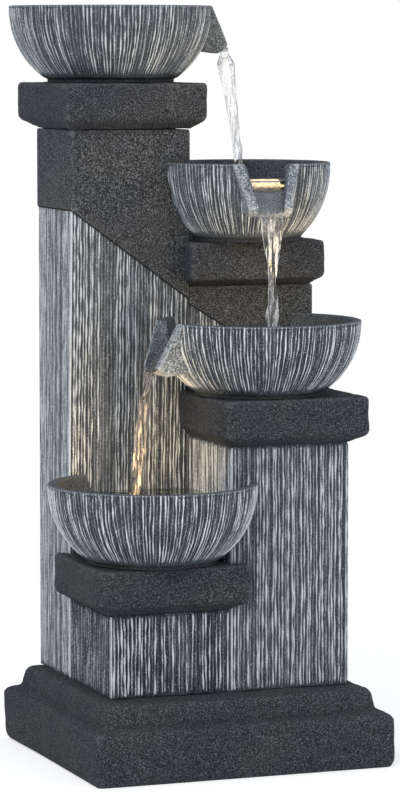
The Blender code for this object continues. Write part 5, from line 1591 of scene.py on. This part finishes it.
def build_blocks() -> None:
    """Carve the two columns, the front block and the pedestal."""
    RibbedBlock("tall_column", (-0.140, 0.035), (-SEAM, 0.142), STEP_TOP, 0.699,
                (True, True, False, False), (0.0036, 0.0028, 0.004, 0.004), 21,
                cape_height=0.611, cape_start=-0.140, cape_slope=0.727,
                cape_steps=(0.0035, 0.0015, 0.0015, 0.0), lean=0.011,
                lean_span=(0.315, 0.611),
                cuts=(((-0.120075, 0.12, 0.100), (-0.020075, 0.16, 0.230)),
                      ((-0.128075, 0.136, 0.092), (-0.012075, 0.16, 0.238)))).build()
    RibbedBlock("right_column", (SEAM, 0.032), (0.150, 0.142), STEP_TOP, 0.523,
                (True, False, False, True), (0.0036, 0.004, 0.004, 0.0036), 31,
                cape_height=0.505, cape_start=0.0, cape_slope=0.62,
                cape_steps=(0.002, 0.0, 0.0015, 0.0015)).build()
    RibbedBlock("front_block", (SEAM, -0.104), (0.140, 0.0317), STEP_TOP, 0.356,
                (True, True, False, True), (0.0037, 0.0030, 0.004, 0.0036), 41).build()
    RibbedBlock("front_pedestal", (-0.140, -0.104), (-SEAM, 0.0347), STEP_TOP, 0.177,
                (True, True, False, False), (0.0040, 0.0032, 0.004, 0.004), 51,
                # the pedestal's left side shows less paint: painted shade on that side
                finish=Finish.CARVED_BOLD, paint=(1.0, 0.74, 1.0, 1.0)).build()


def build_bowls() -> list[CarvedBowl]:
    """Turn and carve the bowls.

    Returns:
        The top, second, third and bottom bowl.
    """
    inside, cheek, foot, channel = Finish.BOWL_INSIDE, Finish.CHEEK, Finish.FOOT, Finish.CHANNEL
    bowls = [
        CarvedBowl("top_bowl", (-0.070575, 0.090), 0.8364, 0.1142, 0.071, 0.0848, 61, -11.0,
                   0.0435, body=TOP,
                   # the top beak's cheeks take the darker channel finish: painted shade
                   finishes=(Finish.CARVED_BOWL_SOFT, inside, channel, foot, channel)),
        CarvedBowl("second_bowl", (0.065325, 0.018), 0.6626, 0.094, 0.0600, 0.087, 71,
                   -97.0, 0.048, ridges=146,
                   finishes=(Finish.CARVED_BOWL_SOFT, inside, cheek, foot, channel),
                   keep_clear=(((-0.2, 0.0205 - CLEARANCE, 0.5), (SEAM, 0.3, 0.7)),)),
        CarvedBowl("third_bowl", (0.055125, -0.0469), 0.4903, 0.1135, 0.072, 0.0817, 81,
                   182.0, 0.0485,
                   keep_clear=(((-0.2, 0.0283 - CLEARANCE, 0.4), (SEAM, 0.3, 0.6)),
                               ((0.0, 0.030 - CLEARANCE, 0.4), (0.3, 0.3, 0.6)))),
        CarvedBowl("bottom_bowl", (-0.076075, -0.06215), 0.3156, 0.1155, 0.072, 0.086, 91,
                   keep_clear=(((-0.3, 0.035 - CLEARANCE, 0.2), (0.3, 0.3, 0.4)),
                               ((SEAM - CLEARANCE, -0.104 - CLEARANCE, 0.2), (0.3, 0.3, 0.4))),
                   worn_down=(((-0.060, -0.02, 0.2950), (0.01, 0.04, 0.33)),)),
    ]
    for bowl in bowls:
        bowl.build()
    return bowls


def build_water(top: CarvedBowl, second: CarvedBowl, third: CarvedBowl,
                bottom: CarvedBowl) -> None:
    """Fill the bowls and let the streams fall, each to where it stirs the next bowl."""
    Pool("top_pool", top, (-0.070575, 0.090)).build()
    Pool("second_pool", second, (0.0745, 0.062)).build()
    Pool("third_pool", third, (0.048, -0.105)).build()
    Pool("bottom_pool", bottom, (-0.091, -0.046), spill=0.0085).build()
    stream = Stream("top_stream", top, (0.0745, 0.062, 0.6438), 5,
                    (0.024, 0.019, 0.015, 0.012, 0.011, 0.012, 0.014), 1.35, 0.12,
                    (0.0075, 0.0064, 0.0046, 0.0030, 0.0020, 0.0015), arc=0.85).build()
    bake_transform(stream)
    stream = Stream("second_stream", second, (0.048, -0.105, 0.4716), 6,
                    (0.027, 0.024, 0.017, 0.010, 0.008, 0.012, 0.016, 0.019), 0.35).build()
    Bench.place(stream, BODY)
    stream = Stream("third_stream", third, (-0.091, -0.046, 0.2968), 7,
                    (0.024, 0.021, 0.018, 0.016, 0.015, 0.015, 0.016), 1.18, 0.25,
                    (0.0040, 0.0030, 0.0020, 0.0014), arc=0.75,
                    finish=Finish.LIT_WATER).build()
    Bench.place(stream, BODY)


def main() -> None:
    """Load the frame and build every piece."""
    logging.basicConfig(level=logging.INFO, format="%(message)s")
    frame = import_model()
    Studio().build()
    dress_kept(frame)
    build_slabs()
    build_blocks()
    build_water(*build_bowls())


if __name__ == "__main__":
    main()
